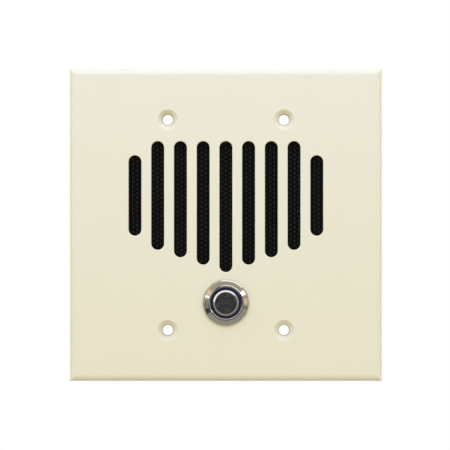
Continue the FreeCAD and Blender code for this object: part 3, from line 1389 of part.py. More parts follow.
def make_button_cap():
    """What moves when the button is pressed: the cap, its plunger and the contact bridge."""
    bead_inner = "(cap_radius - cap_bead_width)"
    slope = "(cap_bead_slope * 1 deg)"
    bead_edge = f"(cap_radius - cap_bead_round * (1 - sin{slope}))"
    crest = f"({CROWN} - cap_proud)"
    bead_front = f"({crest} + ({bead_edge} - {bead_inner}) * tan{slope})"
    shoulder = f"({bead_front} + cap_bead_round * cos{slope})"
    dish = f"({crest} + cap_dish)"
    socket = f"({dish} + cap_face_thickness)"
    button_piece("button_cap", [
        ("0", dish),
        ("0", socket),
        ("plunger_head_radius", socket),
        ("plunger_head_radius", CAP_BACK),
        ("cap_flange_radius", CAP_BACK),
        ("cap_flange_radius", CAP_FLANGE_FRONT),
        ("cap_radius", CAP_FLANGE_FRONT),
        ("cap_radius", shoulder, "cap_bead_round", -1),
        (bead_edge, bead_front),
        (bead_inner, crest),
        (bead_inner, dish),
    ])
    head = "(plunger_head_radius - ring_fit_gap)"
    button_piece("button_plunger", [
        ("0", socket),
        (head, socket),
        (head, CAP_BACK),
        ("plunger_stem_radius", CAP_BACK),
        ("plunger_stem_radius", BRIDGE_FRONT),
        ("plunger_tip_radius", BRIDGE_FRONT),
        ("plunger_tip_radius", f"{BRIDGE_FRONT} + plunger_tip_length"),
        ("0", f"{BRIDGE_FRONT} + plunger_tip_length"),
    ])
    bridge = new_body("contact_bridge", y=f"({BUTTON_Y} + {BRIDGE_FRONT})", z=BUTTON_Z)
    sketch = facing_sketch(bridge, "bridge_outline")
    rectangle(sketch, "-bridge_length / 2", "bridge_length / 2", "-bridge_width / 2", "bridge_width / 2")
    circle(sketch, "0", "0", "plunger_tip_radius + pin_gap")
    pad(bridge, "bridge_strip", sketch, "bridge_thickness")
    sketch = facing_sketch(bridge, "bridge_contact_outlines", "bridge_thickness")
    for sign in ("-", ""):
        circle(sketch, f"{sign}contact_spacing / 2", "0", "contact_radius")
    pad(bridge, "bridge_contacts", sketch, "contact_height")


def make_switch():
    """The switch behind the cap: housing, base, fixed contacts and the pins for the lamps."""
    guide = "(plunger_stem_radius + stem_guide_gap)"
    outer = "(barrel_bore_radius - housing_gap)"
    housing = button_piece("switch_housing", [
        ("housing_bore_radius", HOUSING_FRONT),
        (outer, HOUSING_FRONT),
        (outer, "barrel_length"),
        ("housing_body_radius", "barrel_length"),
        ("housing_body_radius", CAVITY_BACK),
        ("housing_cavity_radius", CAVITY_BACK),
        ("housing_cavity_radius", CAVITY_FRONT),
        (guide, CAVITY_FRONT),
        (guide, SPRING_SEAT),
        ("housing_bore_radius", SPRING_SEAT),
    ])
    sketch = facing_sketch(housing, "pin_channel_outlines", HOUSING_FRONT)
    for sign in ("-", ""):
        circle(sketch, "0", f"{sign}lamp_pin_circle", "lamp_pin_radius + pin_gap")
    pocket(housing, "pin_channels", sketch, f"{CAVITY_BACK} - {HOUSING_FRONT}")
    half_width = "(blade_width / 2)"
    half_thickness = "(blade_thickness / 2)"
    base = turned("switch_base", [
        ("0", CAVITY_BACK),
        ("housing_body_radius - switch_base_inset", CAVITY_BACK),
        ("housing_body_radius - switch_base_inset", BASE_BACK),
        ("0", BASE_BACK),
    ], y=BUTTON_Y, z=BUTTON_Z)
    sketch = facing_sketch(base, "base_opening_outlines", CAVITY_BACK)
    for sign in ("-", ""):
        middle = f"({sign}contact_spacing / 2)"
        rectangle(sketch, f"{middle} - {half_thickness} - pin_gap",
                  f"{middle} + {half_thickness} + pin_gap",
                  f"-{half_width} - pin_gap", f"{half_width} + pin_gap")
        circle(sketch, "0", f"{sign}lamp_pin_circle", "lamp_pin_radius + pin_gap")
    pocket(base, "base_openings", sketch, "switch_base_thickness")

    bridge_back = f"({BRIDGE_FRONT} + bridge_thickness + contact_height)"
    contact_front = f"({bridge_back} + button_travel + contact_stop_gap)"
    contacts = new_body("fixed_contacts", y=BUTTON_Y, z=BUTTON_Z)
    contacts.AllowCompound = True
    sketch = facing_sketch(contacts, "contact_outlines", contact_front)
    for sign in ("-", ""):
        circle(sketch, f"{sign}contact_spacing / 2", "0", "contact_radius")
    pad(contacts, "contact_faces", sketch, "contact_height")
    sketch = facing_sketch(contacts, "blade_outlines", f"{contact_front} + contact_height")
    for sign in ("-", ""):
        middle = f"({sign}contact_spacing / 2)"
        rectangle(sketch, f"{middle} - {half_thickness}", f"{middle} + {half_thickness}",
                  minus(half_width), half_width)
    pad(contacts, "blades", sketch, f"{BASE_BACK} + blade_reach - {contact_front} - contact_height")

    pins = new_body("lamp_pins", y=BUTTON_Y, z=BUTTON_Z)
    pins.AllowCompound = True
    sketch = facing_sketch(pins, "lamp_pin_outlines", HOUSING_FRONT)
    for sign in ("-", ""):
        circle(sketch, "0", f"{sign}lamp_pin_circle", "lamp_pin_radius")
    pad(pins, "lamp_pin_rods", sketch, f"{BASE_BACK} + lamp_pin_reach - {HOUSING_FRONT}")


def arc_through(start, tangent, end):
    """The arc that leaves start along a unit tangent and reaches end, and its tangent there."""
    chord = end - start
    along = FreeCAD.Vector(chord).normalize()
    lean = tangent - along * tangent.dot(along)
    half_angle = math.acos(max(-1.0, min(1.0, tangent.dot(along))))
    middle = (start + end) * 0.5
    if lean.Length > 1e-9:
        middle = middle + lean.normalize() * (chord.Length / 2 * math.tan(half_angle / 2))
    return Part.Arc(start, middle, end).toShape()


def spring_path(radius, start, length, turns):
    """A helix about the depth axis as pairs of arcs, two to each half turn, tangent throughout."""
    climb = length / (2 * math.pi * turns)

    def point(angle):
        return FreeCAD.Vector(radius * math.cos(angle), start + climb * angle, radius * math.sin(angle))

    def direction(angle):
        return FreeCAD.Vector(-radius * math.sin(angle), climb, radius * math.cos(angle)).normalize()

    edges = []
    for half_turn in range(2 * turns):
        first, last = half_turn * math.pi, (half_turn + 1) * math.pi
        start_point, end_point = point(first), point(last)
        start_way, end_way = direction(first), direction(last)
        reach = end_point - start_point
        ways = start_way + end_way
        spread = 2 * (1 - start_way.dot(end_way))
        across = reach.dot(ways)
        handle = (-across + math.sqrt(across ** 2 + spread * reach.dot(reach))) / spread
        joint = (start_point + start_way * handle + end_point - end_way * handle) * 0.5
        edges.append(arc_through(start_point, start_way, joint))
        joint_way = (end_point - end_way * handle - joint).normalize()
        edges.append(arc_through(joint, joint_way, end_point))
    return Part.Wire(edges), direction(0)


def make_button_spring():
    """The return spring between the cap's flange and the floor of the housing."""
    wire_radius = number("spring_wire / 2")
    start = number(f"{CAP_BACK} + spring_wire / 2")
    length = number("spring_room - spring_wire")
    path, way = spring_path(number("spring_radius"), start, length, SPRING_TURNS)
    profile = Part.Wire(Part.Circle(path.Vertexes[0].Point, way, wire_radius).toShape())
    shell = Part.BRepOffsetAPI.MakePipeShell(path)
    shell.add(profile)
    shell.build()
    shell.makeSolid()
    spring = document.addObject("Part::Feature", "button_spring")
    spring.Shape = shell.shape()
    place(spring, "0", BUTTON_Y, BUTTON_Z)
    nodes.append(spring)


def write_parts():
    """Stop on any object that failed, then write each node to its own file."""
    failed = [item.Label for item in document.Objects if {"Invalid", "Error"} & set(item.State)]
    if failed:
        raise RuntimeError(f"these objects failed: {failed}")
    for node in nodes:
        if node.Shape.isNull() or not node.Shape.isValid() or not node.Shape.Solids:
            raise RuntimeError(f"{node.Label} has no sound solid")
    os.makedirs("parts", exist_ok=True)
    for node in nodes:
        node.Shape.exportStep(f"parts/{node.Label}.step")
        box = node.Shape.BoundBox
        print(f"{node.Label:20} {len(node.Shape.Solids)} solids  {node.Shape.Volume:10.2f} mm3  "
              f"x {box.XMin:.2f}..{box.XMax:.2f}  y {box.YMin:.2f}..{box.YMax:.2f}  "
              f"z {box.ZMin:.2f}..{box.ZMax:.2f}")


make_face_plate()
make_grille_cloth()
make_baffle()
make_screws()
make_speaker_clips()
make_speaker()
make_tag_board()
make_microphone()
make_circuit_board()
make_terminals()
make_capacitors()
make_amplifier()
make_resistors()
make_wire_sockets()
make_button_barrel()
make_button_fixings()
make_light_ring()
make_button_cap()
make_switch()
make_button_spring()
document.recompute()
write_parts()
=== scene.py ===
"""Looks of the wall-mounted intercom station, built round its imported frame.

Metres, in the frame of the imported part: +X to the right as seen from the front, the face looks
along -Y, +Z up. Sizes that read better in millimetres are written as a number times MM.
"""

import logging
import math
from dataclasses import dataclass
from enum import Enum
from typing import Any, Iterable, Sequence, Union

import bmesh
import bpy
from mathutils import Matrix, Vector
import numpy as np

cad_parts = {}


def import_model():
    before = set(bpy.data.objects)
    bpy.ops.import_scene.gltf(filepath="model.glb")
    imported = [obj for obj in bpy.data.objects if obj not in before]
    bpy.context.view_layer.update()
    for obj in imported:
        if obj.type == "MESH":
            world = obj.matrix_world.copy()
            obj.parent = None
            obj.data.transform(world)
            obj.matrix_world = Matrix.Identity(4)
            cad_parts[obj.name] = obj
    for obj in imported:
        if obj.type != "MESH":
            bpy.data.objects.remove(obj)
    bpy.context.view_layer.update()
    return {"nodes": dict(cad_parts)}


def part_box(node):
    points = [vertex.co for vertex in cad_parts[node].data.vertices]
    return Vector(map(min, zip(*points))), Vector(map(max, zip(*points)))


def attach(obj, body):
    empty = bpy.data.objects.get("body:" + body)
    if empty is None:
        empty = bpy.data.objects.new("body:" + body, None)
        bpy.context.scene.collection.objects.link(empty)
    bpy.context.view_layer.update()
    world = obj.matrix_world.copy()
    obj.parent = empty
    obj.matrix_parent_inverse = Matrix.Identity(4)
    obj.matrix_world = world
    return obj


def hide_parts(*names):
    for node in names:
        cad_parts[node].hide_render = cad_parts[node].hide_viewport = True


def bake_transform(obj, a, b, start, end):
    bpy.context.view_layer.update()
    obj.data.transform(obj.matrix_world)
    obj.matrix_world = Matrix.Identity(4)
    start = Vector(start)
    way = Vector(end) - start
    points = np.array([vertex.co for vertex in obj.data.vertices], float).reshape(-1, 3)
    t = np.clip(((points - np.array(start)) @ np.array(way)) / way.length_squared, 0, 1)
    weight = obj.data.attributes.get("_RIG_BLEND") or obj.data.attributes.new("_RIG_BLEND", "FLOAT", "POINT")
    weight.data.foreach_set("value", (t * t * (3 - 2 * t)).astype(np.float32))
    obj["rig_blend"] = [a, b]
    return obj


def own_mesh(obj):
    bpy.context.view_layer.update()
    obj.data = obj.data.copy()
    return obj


MM = 0.001
WELD = 1e-7
log = logging.getLogger("intercom")

Colour = tuple[float, float, float]
Pair = tuple[float, float]
Triple = tuple[float, float, float]
Value = Union["Signal", float, Sequence[float]]

WHITE: Colour = (1.0, 1.0, 1.0)


def shade(colour: Colour, amount: float) -> Colour:
    """The colour made darker (below 1) or lighter (above 1)."""
    return tuple(min(1.0, channel * amount) for channel in colour)


# Materials

class Signal:
    """An output socket of a node, for use in Python expressions."""

    def __init__(self, maker: "NodeMaker", socket: bpy.types.NodeSocket) -> None:
        """Keep the socket and the maker that adds nodes to its tree."""
        self.maker = maker
        self.socket = socket

    def output(self, name: str) -> "Signal":
        """Another output of the same node."""
        return Signal(self.maker, self.socket.node.outputs[name])

    def __add__(self, other: Value) -> "Signal":
        """This value plus another."""
        return self.maker.math("ADD", self, other)

    __radd__ = __add__

    def __sub__(self, other: Value) -> "Signal":
        """This value less another."""
        return self.maker.math("SUBTRACT", self, other)

    def __rsub__(self, other: Value) -> "Signal":
        """Another value less this one."""
        return self.maker.math("SUBTRACT", other, self)

    def __mul__(self, other: Value) -> "Signal":
        """This value times another."""
        return self.maker.math("MULTIPLY", self, other)

    __rmul__ = __mul__

    def __truediv__(self, other: Value) -> "Signal":
        """This value over another."""
        return self.maker.math("DIVIDE", self, other)

    def __pow__(self, other: Value) -> "Signal":
        """This value to a power."""
        return self.maker.math("POWER", self, other)

    def __mod__(self, other: Value) -> "Signal":
        """What is left of this value after whole steps of another."""
        return self.maker.math("FLOORED_MODULO", self, other)

    def __abs__(self) -> "Signal":
        """This value without its sign."""
        return self.maker.math("ABSOLUTE", self)

    def rounded(self) -> "Signal":
        """The nearest whole number."""
        return self.maker.math("ROUND", self)

    def ripple(self, length: float) -> "Signal":
        """A smooth wave between 0 and 1 that repeats after each length."""
        return self.maker.math("SINE", self * (2 * math.pi / length)) * 0.5 + 0.5

    def rise(self, low: float, high: float) -> "Signal":
        """A smooth step.

        Args:
            low: Where it leaves 0.
            high: Where it reaches 1.

        Returns:
            The step.
        """
        return self.maker.node(
            "ShaderNodeMapRange", {"interpolation_type": "SMOOTHSTEP"},
            {"Value": self, "From Min": low, "From Max": high},
        )

    def span(self, start: float, end: float) -> "Signal":
        """This value, which runs from 0 to 1, spread from start to end."""
        return self * (end - start) + start


class NodeMaker:
    """Adds nodes to one node tree."""

    def __init__(self, tree: bpy.types.NodeTree) -> None:
        """Keep the tree."""
        self.tree = tree

    def node(self, kind: str, settings: dict[str, Any] | None = None,
             sockets: dict[int | str, Value] | None = None, output: int | str = 0) -> Signal:
        """Add one node.

        Args:
            kind: The node's type.
            settings: Its properties, such as a Math node's operation.
            sockets: A number, a colour or a Signal for each input that is set.
            output: The output that the Signal stands for.

        Returns:
            The node's output.
        """
        made = self.tree.nodes.new(kind)
        for name, setting in (settings or {}).items():
            setattr(made, name, setting)
        for name, value in (sockets or {}).items():
            self.feed(made.inputs[name], value)
        return Signal(self, made.outputs[output])

    def feed(self, socket: bpy.types.NodeSocket, value: Value) -> None:
        """Link a Signal to an input, or set the input to a number, vector or colour.

        Args:
            socket: The input.
            value: What goes into it.
        """
        if isinstance(value, Signal):
            self.tree.links.new(value.socket, socket)
        elif socket.type == "RGBA":
            socket.default_value = (*value, 1.0)
        else:
            socket.default_value = value

    def math(self, operation: str, *values: Value) -> Signal:
        """A Math node on one, two or three values."""
        return self.node("ShaderNodeMath", {"operation": operation}, dict(enumerate(values)))

    def mix(self, share: Value, first: Value, second: Value) -> Signal:
        """A colour between first (share 0) and second (share 1)."""
        return self.node("ShaderNodeMix", {"data_type": "RGBA"}, {0: share, 6: first, 7: second}, 2)

    def axes(self, vector: Signal) -> tuple[Signal, Signal, Signal]:
        """A vector's x, y and z."""
        split = self.node("ShaderNodeSeparateXYZ", {}, {0: vector})
        return split, split.output("Y"), split.output("Z")

    def seen(self) -> Signal:
        """1 for what the camera sees, also through glass, and 0 for what only gives light."""
        path = self.node("ShaderNodeLightPath", output="Is Camera Ray")
        return self.math("MAXIMUM", path, path.output("Is Transmission Ray"))


class MaterialMaker(NodeMaker):
    """A material that is being made, with its Principled shader."""

    def __init__(self, name: str) -> None:
        """Start an empty material.

        Args:
            name: Its name.
        """
        self.material = bpy.data.materials.new(name)
        self.material.use_nodes = True
        super().__init__(self.material.node_tree)
        self.shader = next(node for node in self.tree.nodes if node.type == "BSDF_PRINCIPLED")
        self.normal: Signal | None = None

    def set(self, **sockets: Value) -> None:
        """Set or link inputs of the shader; an underscore in a name stands for a space."""
        for name, value in sockets.items():
            self.feed(self.shader.inputs[name.replace("_", " ")], value)

    def points(self, centre: Sequence[float] = (0.0, 0.0, 0.0),
               size: Sequence[float] = (1.0, 1.0, 1.0)) -> Signal:
        """The piece's own coordinates.

        Args:
            centre: The point that becomes zero, in metres.
            size: The length along each axis that becomes one, in metres.

        Returns:
            The vector.
        """
        place = self.node("ShaderNodeTexCoord", output="Object")
        return self.node(
            "ShaderNodeMapping", {"vector_type": "TEXTURE"},
            {"Vector": place, "Location": centre, "Scale": size},
        )

    def radius(self, centre: Sequence[float]) -> Signal:
        """The distance from an axis along y through a point, in metres."""
        x, _, z = self.axes(self.points(centre))
        return (x * x + z * z) ** 0.5

    def noise(self, size: float | Triple, detail: float = 2.0, roughness: float = 0.5) -> Signal:
        """Soft noise from about 0 to 1.

        Args:
            size: The size of its lumps in metres, the same or one for each axis.
            detail: How many finer layers lie on it.
            roughness: How strong the finer layers are.

        Returns:
            The noise.
        """
        sizes = (size,) * 3 if isinstance(size, float) else size
        return self.node(
            "ShaderNodeTexNoise", {},
            {"Vector": self.points(size=sizes), "Scale": 1.0, "Detail": detail,
             "Roughness": roughness},
        )

    def cells(self, size: float) -> Signal:
        """The distance to the nearest of scattered points about one size apart."""
        points = self.points(size=(size,) * 3)
        return self.node("ShaderNodeTexVoronoi", {}, {"Vector": points, "Scale": 1.0})

    def rings(self, radius: Signal, size: float) -> Signal:
        """Noise that changes with the radius alone, as tool marks of a turned piece do.

        Args:
            radius: The distance from the axis.
            size: How far apart the marks are, in metres.

        Returns:
            The noise.
        """
        return self.node(
            "ShaderNodeTexNoise", {"noise_dimensions": "1D"},
            {"W": radius * (1 / size), "Scale": 1.0, "Detail": 3.0, "Roughness": 0.6},
        )

    def relief(self, height: Signal, depth: float) -> None:
        """Add bumps on top of those already there.

        Args:
            height: The relief, from 0 to 1.
            depth: How far 1 stands above 0, in metres.
        """
        sockets = {"Height": height, "Distance": depth, "Strength": 1.0}
        if self.normal:
            sockets["Normal"] = self.normal
        self.normal = self.node("ShaderNodeBump", {}, sockets)
        self.set(Normal=self.normal)


@dataclass(frozen=True)
class Finish:
    """What every finish has: its material's name, its colour and its roughness."""

    name: str
    colour: Colour
    roughness: float

    def material(self) -> bpy.types.Material:
        """The finish as a material.

        Returns:
            The material, which is made the first time.
        """
        found = bpy.data.materials.get(self.name)
        if found:
            return found
        maker = MaterialMaker(self.name)
        maker.set(Base_Color=self.colour, Roughness=self.roughness)
        self.lay(maker)
        return maker.material

    def lay(self, maker: MaterialMaker) -> None:
        """Add the finish's own detail to the plain shader."""
        raise NotImplementedError

    def tone(self, maker: MaterialMaker, share: Value, dark: float, light: float) -> Signal:
        """The colour, shaded by dark where the share is 0 and by light where it is 1."""
        return maker.mix(share, shade(self.colour, dark), shade(self.colour, light))

    def gloss(self, share: Signal, less: float, more: float) -> Signal:
        """The roughness, less by that much where the share is 0 and more where it is 1."""
        return share.span(self.roughness - less, self.roughness + more)


@dataclass(frozen=True)
class PowderCoat(Finish):
    """Baked powder coat with a soft orange peel, and painted shade round the screw holes.

    Attributes:
        peel_size, peel_depth: The orange peel.
        grain_size, grain_depth: The grain of the powder.
        drift_size: How far the tone takes to drift.
        holes: How far right and up of the plate's middle the screw holes are.
        hole_radius: The radius of such a hole.
        hole_shade_width, hole_shade_drift, hole_shade_colour: The painted shade round its rim.
        sink, sink_drop: The radii between which light falls off into it, and how far.
        half_plate: From the plate's middle to its edge.
        shoulder, shoulder_drop: Where the front swells before its edge, and how far.
        edge, edge_drop: Where it rolls over at its edge, and how far.
    """

    peel_size: float = 1.5 * MM
    peel_depth: float = 0.012 * MM
    grain_size: float = 0.4 * MM
    grain_depth: float = 0.003 * MM
    drift_size: float = 18 * MM
    holes: Pair = (23.02 * MM, 41.67 * MM)
    hole_radius: float = 2.05 * MM
    # painted shade round the screw holes' rims
    hole_shade_width: float = 0.5 * MM
    hole_shade_drift: float = 0.12 * MM
    hole_shade_colour: Colour = (0.42, 0.38, 0.27)
    sink: Pair = (1.55 * MM, 4.05 * MM)
    sink_drop: float = 0.4 * MM
    half_plate: float = 61.9 * MM
    shoulder: Pair = (-3.1 * MM, -1.1 * MM)
    shoulder_drop: float = 0.15 * MM
    edge: Pair = (-1.3 * MM, 0.5 * MM)
    edge_drop: float = 0.55 * MM

    def lay(self, maker: MaterialMaker) -> None:
        """Peel and grain, a faint drift of tone and gloss, painted shade at the holes' rims, and the
        roundings.

        Args:
            maker: The material being made.
        """
        peel = maker.noise(self.peel_size, 1.0)
        grain = maker.noise(self.grain_size, 2.0)
        drift = maker.noise(self.drift_size, 3.0)
        x, _, z = maker.axes(maker.points())
        across = abs(x) - self.holes[0]
        along = abs(z) - self.holes[1]
        away = (across * across + along * along) ** 0.5
        # painted shade: a narrow darker ring round each screw hole's rim
        rim = away + drift.span(-self.hole_shade_drift, self.hole_shade_drift)
        hole_shade = 1 - rim.rise(self.hole_radius, self.hole_radius + self.hole_shade_width)
        maker.set(
            Base_Color=maker.mix(hole_shade, self.tone(maker, drift, 0.99, 1.01), self.hole_shade_colour),
            Roughness=self.gloss(grain, 0.05, 0.05),
        )
        maker.relief(peel, self.peel_depth)
        maker.relief(grain, self.grain_depth)
        margin = maker.math("MAXIMUM", abs(x), abs(z)) - self.half_plate
        maker.relief(margin.rise(*self.shoulder), self.shoulder_drop)
        maker.relief(1 - margin.rise(*self.edge), self.edge_drop)
        maker.relief(away.rise(*self.sink), self.sink_drop)


@dataclass(frozen=True)
class PlainWeave:
    """A plain weave: how far apart its yarns lie and how high they stand."""

    warp_pitch: float = 1.6 * MM
    weft_pitch: float = 0.9 * MM
    crimp: float = 0.075 * MM
    warp_rise: float = 0.1 * MM
    weft_rise: float = 0.07 * MM
    cover: float = 0.94

    def height(self, x: float, z: float) -> float:
        """How far the cloth's front stands above its middle plane.

        Args:
            x: A point's place across the cloth, in metres.
            z: Its place along the cloth, in metres.

        Returns:
            The height in metres.
        """
        warp = round(x / self.warp_pitch)
        weft = round(z / self.weft_pitch)
        across_warp = 2 * (x / self.warp_pitch - warp) / self.cover
        across_weft = 2 * (z / self.weft_pitch - weft) / self.cover
        warp_wave = math.cos(math.pi * z / self.weft_pitch) * (-1) ** warp
        weft_wave = -math.cos(math.pi * x / self.warp_pitch) * (-1) ** weft
        warp_round = self.warp_rise * math.sqrt(max(0.0, 1 - across_warp ** 2))
        weft_round = self.weft_rise * math.sqrt(max(0.0, 1 - across_weft ** 2))
        gap = -2 * self.crimp
        warp_height = gap if abs(across_warp) > 1 else self.crimp * warp_wave + warp_round
        weft_height = gap if abs(across_weft) > 1 else self.crimp * weft_wave + weft_round
        return max(warp_height, weft_height)


@dataclass(frozen=True)
class WovenYarn(Finish):
    """Matt yarn of a plain weave, each thread with its fibres along it."""

    weave: PlainWeave = PlainWeave()
    fibre_size: Triple = (0.07 * MM, 0.3 * MM, 1.4 * MM)
    fibre_depth: float = 0.02 * MM
    dye_size: float = 3.5 * MM
    # painted shade on the weft: the share of its painted highlight that it keeps
    weft_light: float = 0.3

    def lay(self, maker: MaterialMaker) -> None:
        """Fibres along the yarn on top, painted highlights on its crowns, painted shade in the gaps and on
        the weft.

        Args:
            maker: The material being made.
        """
        pitch = (self.weave.warp_pitch, 1.0, self.weave.weft_pitch)
        x, _, z = maker.axes(maker.points(size=pitch))
        weft = (x.rounded() + z.rounded()) % 2.0
        warp = 1 - weft
        along_warp = maker.noise(self.fibre_size, 3.0, 0.65)
        along_weft = maker.noise(self.fibre_size[::-1], 3.0, 0.65)
        fibres = along_warp * warp + along_weft * weft
        across = abs(x - x.rounded()) * warp + abs(z - z.rounded()) * weft
        # painted highlight on each yarn's crown and painted shade in the gaps between yarns
        crown = 1 - across.rise(0.15, 0.5)
        dye = maker.noise(self.dye_size, 2.0)
        # painted shade on the weft, so the warp's crowns stand out as painted highlights
        lit = crown * fibres * dye.span(0.7, 1.3) * weft.span(1.0, self.weft_light)
        maker.set(
            Base_Color=self.tone(maker, lit, 0.1, 6.6),
            Roughness=self.gloss(fibres, 0.1, 0.05),
            Specular_IOR_Level=0.05,
        )
        maker.relief(fibres, self.fibre_depth)


@dataclass(frozen=True)
class Moulding(Finish):
    """Moulded plastic or rubber with a fine grain."""

    grain_size: float = 0.35 * MM
    grain_depth: float = 0.006 * MM
    mottle: float = 0.12
    specular: float = 0.5
    coat: float = 0.0
    flow_size: Triple = (9 * MM, 9 * MM, 3 * MM)

    def lay(self, maker: MaterialMaker) -> None:
        """Fine grain, slow flow marks and a drift of tone.

        Args:
            maker: The material being made.
        """
        grain = maker.noise(self.grain_size, 3.0, 0.6)
        flow = maker.noise(self.flow_size, 2.0)
        tone = grain * 0.4 + flow * 0.6
        maker.set(
            Base_Color=self.tone(maker, tone, 1 - self.mottle, 1 + self.mottle),
            Roughness=self.gloss(flow * 0.5 + grain * 0.5, 0.08, 0.08),
            Specular_IOR_Level=self.specular, Coat_Weight=self.coat, Coat_Roughness=0.12,
        )
        maker.relief(grain, self.grain_depth)
        maker.relief(flow, self.grain_depth * 2)


class Working(Enum):
    """How a bare or plated metal piece got its surface, as the lumps' size along x, y and z."""

    PLATED = (0.5 * MM, 0.5 * MM, 0.5 * MM)
    PRESSED = (1.6 * MM, 1.6 * MM, 1.6 * MM)
    DRAWN = (0.1 * MM, 2.5 * MM, 0.1 * MM)
    ROLLED = (4.0 * MM, 4.0 * MM, 0.12 * MM)


@dataclass(frozen=True)
class Metal(Finish):
    """Bare or plated metal."""

    working: Working = Working.PLATED
    mark_depth: float = 0.003 * MM
    tarnish: Colour = (0.3, 0.28, 0.24)
    tarnish_share: float = 0.2
    patch_size: float = 2.6 * MM

    def lay(self, maker: MaterialMaker) -> None:
        """Marks of its working, a film of tarnish in patches and uneven gloss.

        Args:
            maker: The material being made.
        """
        marks = maker.noise(self.working.value, 3.0, 0.6)
        patches = maker.noise(self.patch_size, 4.0, 0.6).rise(0.45, 0.75)
        maker.set(
            Base_Color=maker.mix(patches * self.tarnish_share, self.colour, self.tarnish),
            Metallic=1.0,
            Roughness=self.gloss(marks * 0.6 + patches * 0.4, 0.07, 0.13),
        )
        maker.relief(marks, self.mark_depth)


@dataclass(frozen=True)
class TurnedMetal(Finish):
    """Polished metal with the faint rings that a lathe leaves round an axis along y.

    Attributes:
        centre: A point on the axis.
        ring_size, ring_depth: The lathe's rings.
        haze_size: The patches that handling leaves.
        shade_ring_radius, shade_ring_width: Where a ring of painted shade lies inside the crown, and how
            wide it is.
        rim, rim_drop: The radii between which the outer edge rolls over, and how far.
        crown_radius, crown_round: Where the crown's corner would be, and its rounding.
        facet_tilt: The tilt in degrees past which the crown's inner side is polished rounder.
    """

    centre: Triple
    ring_size: float = 0.16 * MM
    ring_depth: float = 0.0006 * MM
    haze_size: float = 3.2 * MM
    # painted shade ring inside the crown
    shade_ring_radius: float = 6.66 * MM
    shade_ring_width: float = 0.3 * MM
    rim: Pair = (8.5 * MM, 9.1 * MM)
    rim_drop: float = 0.1 * MM
    crown_radius: float = 7.0 * MM
    crown_round: float = 0.9 * MM
    facet_tilt: float = 37.5

    def lay(self, maker: MaterialMaker) -> None:
        """Rings, a haze of handling, a ring of painted shade, the rolled rim and the polished crown.

        Args:
            maker: The material being made.
        """
        radius = maker.radius(self.centre)
        rings = maker.rings(radius, self.ring_size)
        haze = maker.noise(self.haze_size, 4.0, 0.6)
        # painted shade: a dark ring just inside the crown
        off_shade_ring = abs(radius - self.shade_ring_radius)
        shade_ring = 1 - off_shade_ring.rise(self.shade_ring_width * 0.25, self.shade_ring_width * 0.6)
        polish = self.tone(maker, haze, 0.95, 1.04)
        maker.set(
            Base_Color=maker.mix(shade_ring, polish, shade(self.colour, 0.15)),
            Metallic=1.0,
            Roughness=self.gloss(rings * 0.3 + haze * 0.7, 0.03, 0.06),
        )
        maker.relief(rings, self.ring_depth)
        maker.relief(1 - radius.rise(*self.rim), self.rim_drop)
        sine = maker.math("MINIMUM", (self.crown_radius - radius) / self.crown_round, 0.98)
        tilt = maker.math("ARCSINE", sine)
        steeper = maker.math("MAXIMUM", tilt - math.radians(self.facet_tilt), 0.0)
        maker.relief(steeper * steeper * 0.5, self.crown_round)


@dataclass(frozen=True)
class DishedCap(Finish):
    """The cap of the call button: a bright rolled rim round a darker satin dish."""

    centre: Triple
    dish: Colour
    dish_roughness: float = 0.3
    dish_radius: float = 4.32 * MM
    dish_blend: float = 0.05 * MM
    # painted shade at the rim's outer edge
    foot_shade_radius: float = 5.08 * MM
    foot_shade_blend: float = 0.12 * MM
    ring_size: float = 0.11 * MM
    ring_depth: float = 0.0012 * MM
    smear_size: Triple = (1.7 * MM, 3.0 * MM, 0.9 * MM)

    def lay(self, maker: MaterialMaker) -> None:
        """The rim's polish, painted shade round its outer edge, the dish's finer rings, and a smear where a
        finger presses.

        Args:
            maker: The material being made.
        """
        radius = maker.radius(self.centre)
        rim = radius.rise(self.dish_radius - self.dish_blend, self.dish_radius + self.dish_blend)
        # painted shade: the rim darkens towards its outer edge
        foot_shade = radius.rise(self.foot_shade_radius - self.foot_shade_blend, self.foot_shade_radius + self.foot_shade_blend)
        rings = maker.rings(radius, self.ring_size)
        smear = maker.noise(self.smear_size, 3.0, 0.55)
        dish = maker.mix(smear.rise(0.3, 0.7), shade(self.dish, 0.7), shade(self.dish, 1.5))
        edge = self.tone(maker, foot_shade, 1.0, 0.3)
        satin = smear.span(self.dish_roughness - 0.04, self.dish_roughness + 0.04)
        maker.set(
            Base_Color=maker.mix(rim, dish, edge),
            Metallic=1.0,
            Roughness=rim * (self.roughness - self.dish_roughness) + satin,
        )
        maker.relief(rings, self.ring_depth)


@dataclass(frozen=True)
class TintedRing(Finish):
    """Deep blue translucent plastic with a frosted bloom inside it, and painted light that grows towards +x.
    """

    centre: Triple
    # how far the painted light towards +x spreads either side of the middle
    reach: float = 6.0 * MM
    bloom_size: float = 1.1 * MM
    skin_size: float = 0.2 * MM
    skin_depth: float = 0.002 * MM

    def lay(self, maker: MaterialMaker) -> None:
        """A paler bloom in soft patches under a clear skin, and painted light towards +x.

        Args:
            maker: The material being made.
        """
        bloom = maker.noise(self.bloom_size, 3.0, 0.6)
        skin = maker.rings(maker.radius(self.centre), self.skin_size)
        x, _, _ = maker.axes(maker.points(self.centre))
        # painted light: the ring grows lighter towards +x
        depth = bloom * 0.5 + x.rise(-self.reach, self.reach) * 0.5
        maker.set(
            Base_Color=self.tone(maker, depth, 0.75, 1.5),
            Roughness=self.gloss(bloom, 0.05, 0.1),
            Specular_IOR_Level=0.4, Coat_Weight=0.15, Coat_Roughness=0.15,
        )
        maker.relief(skin, self.skin_depth)


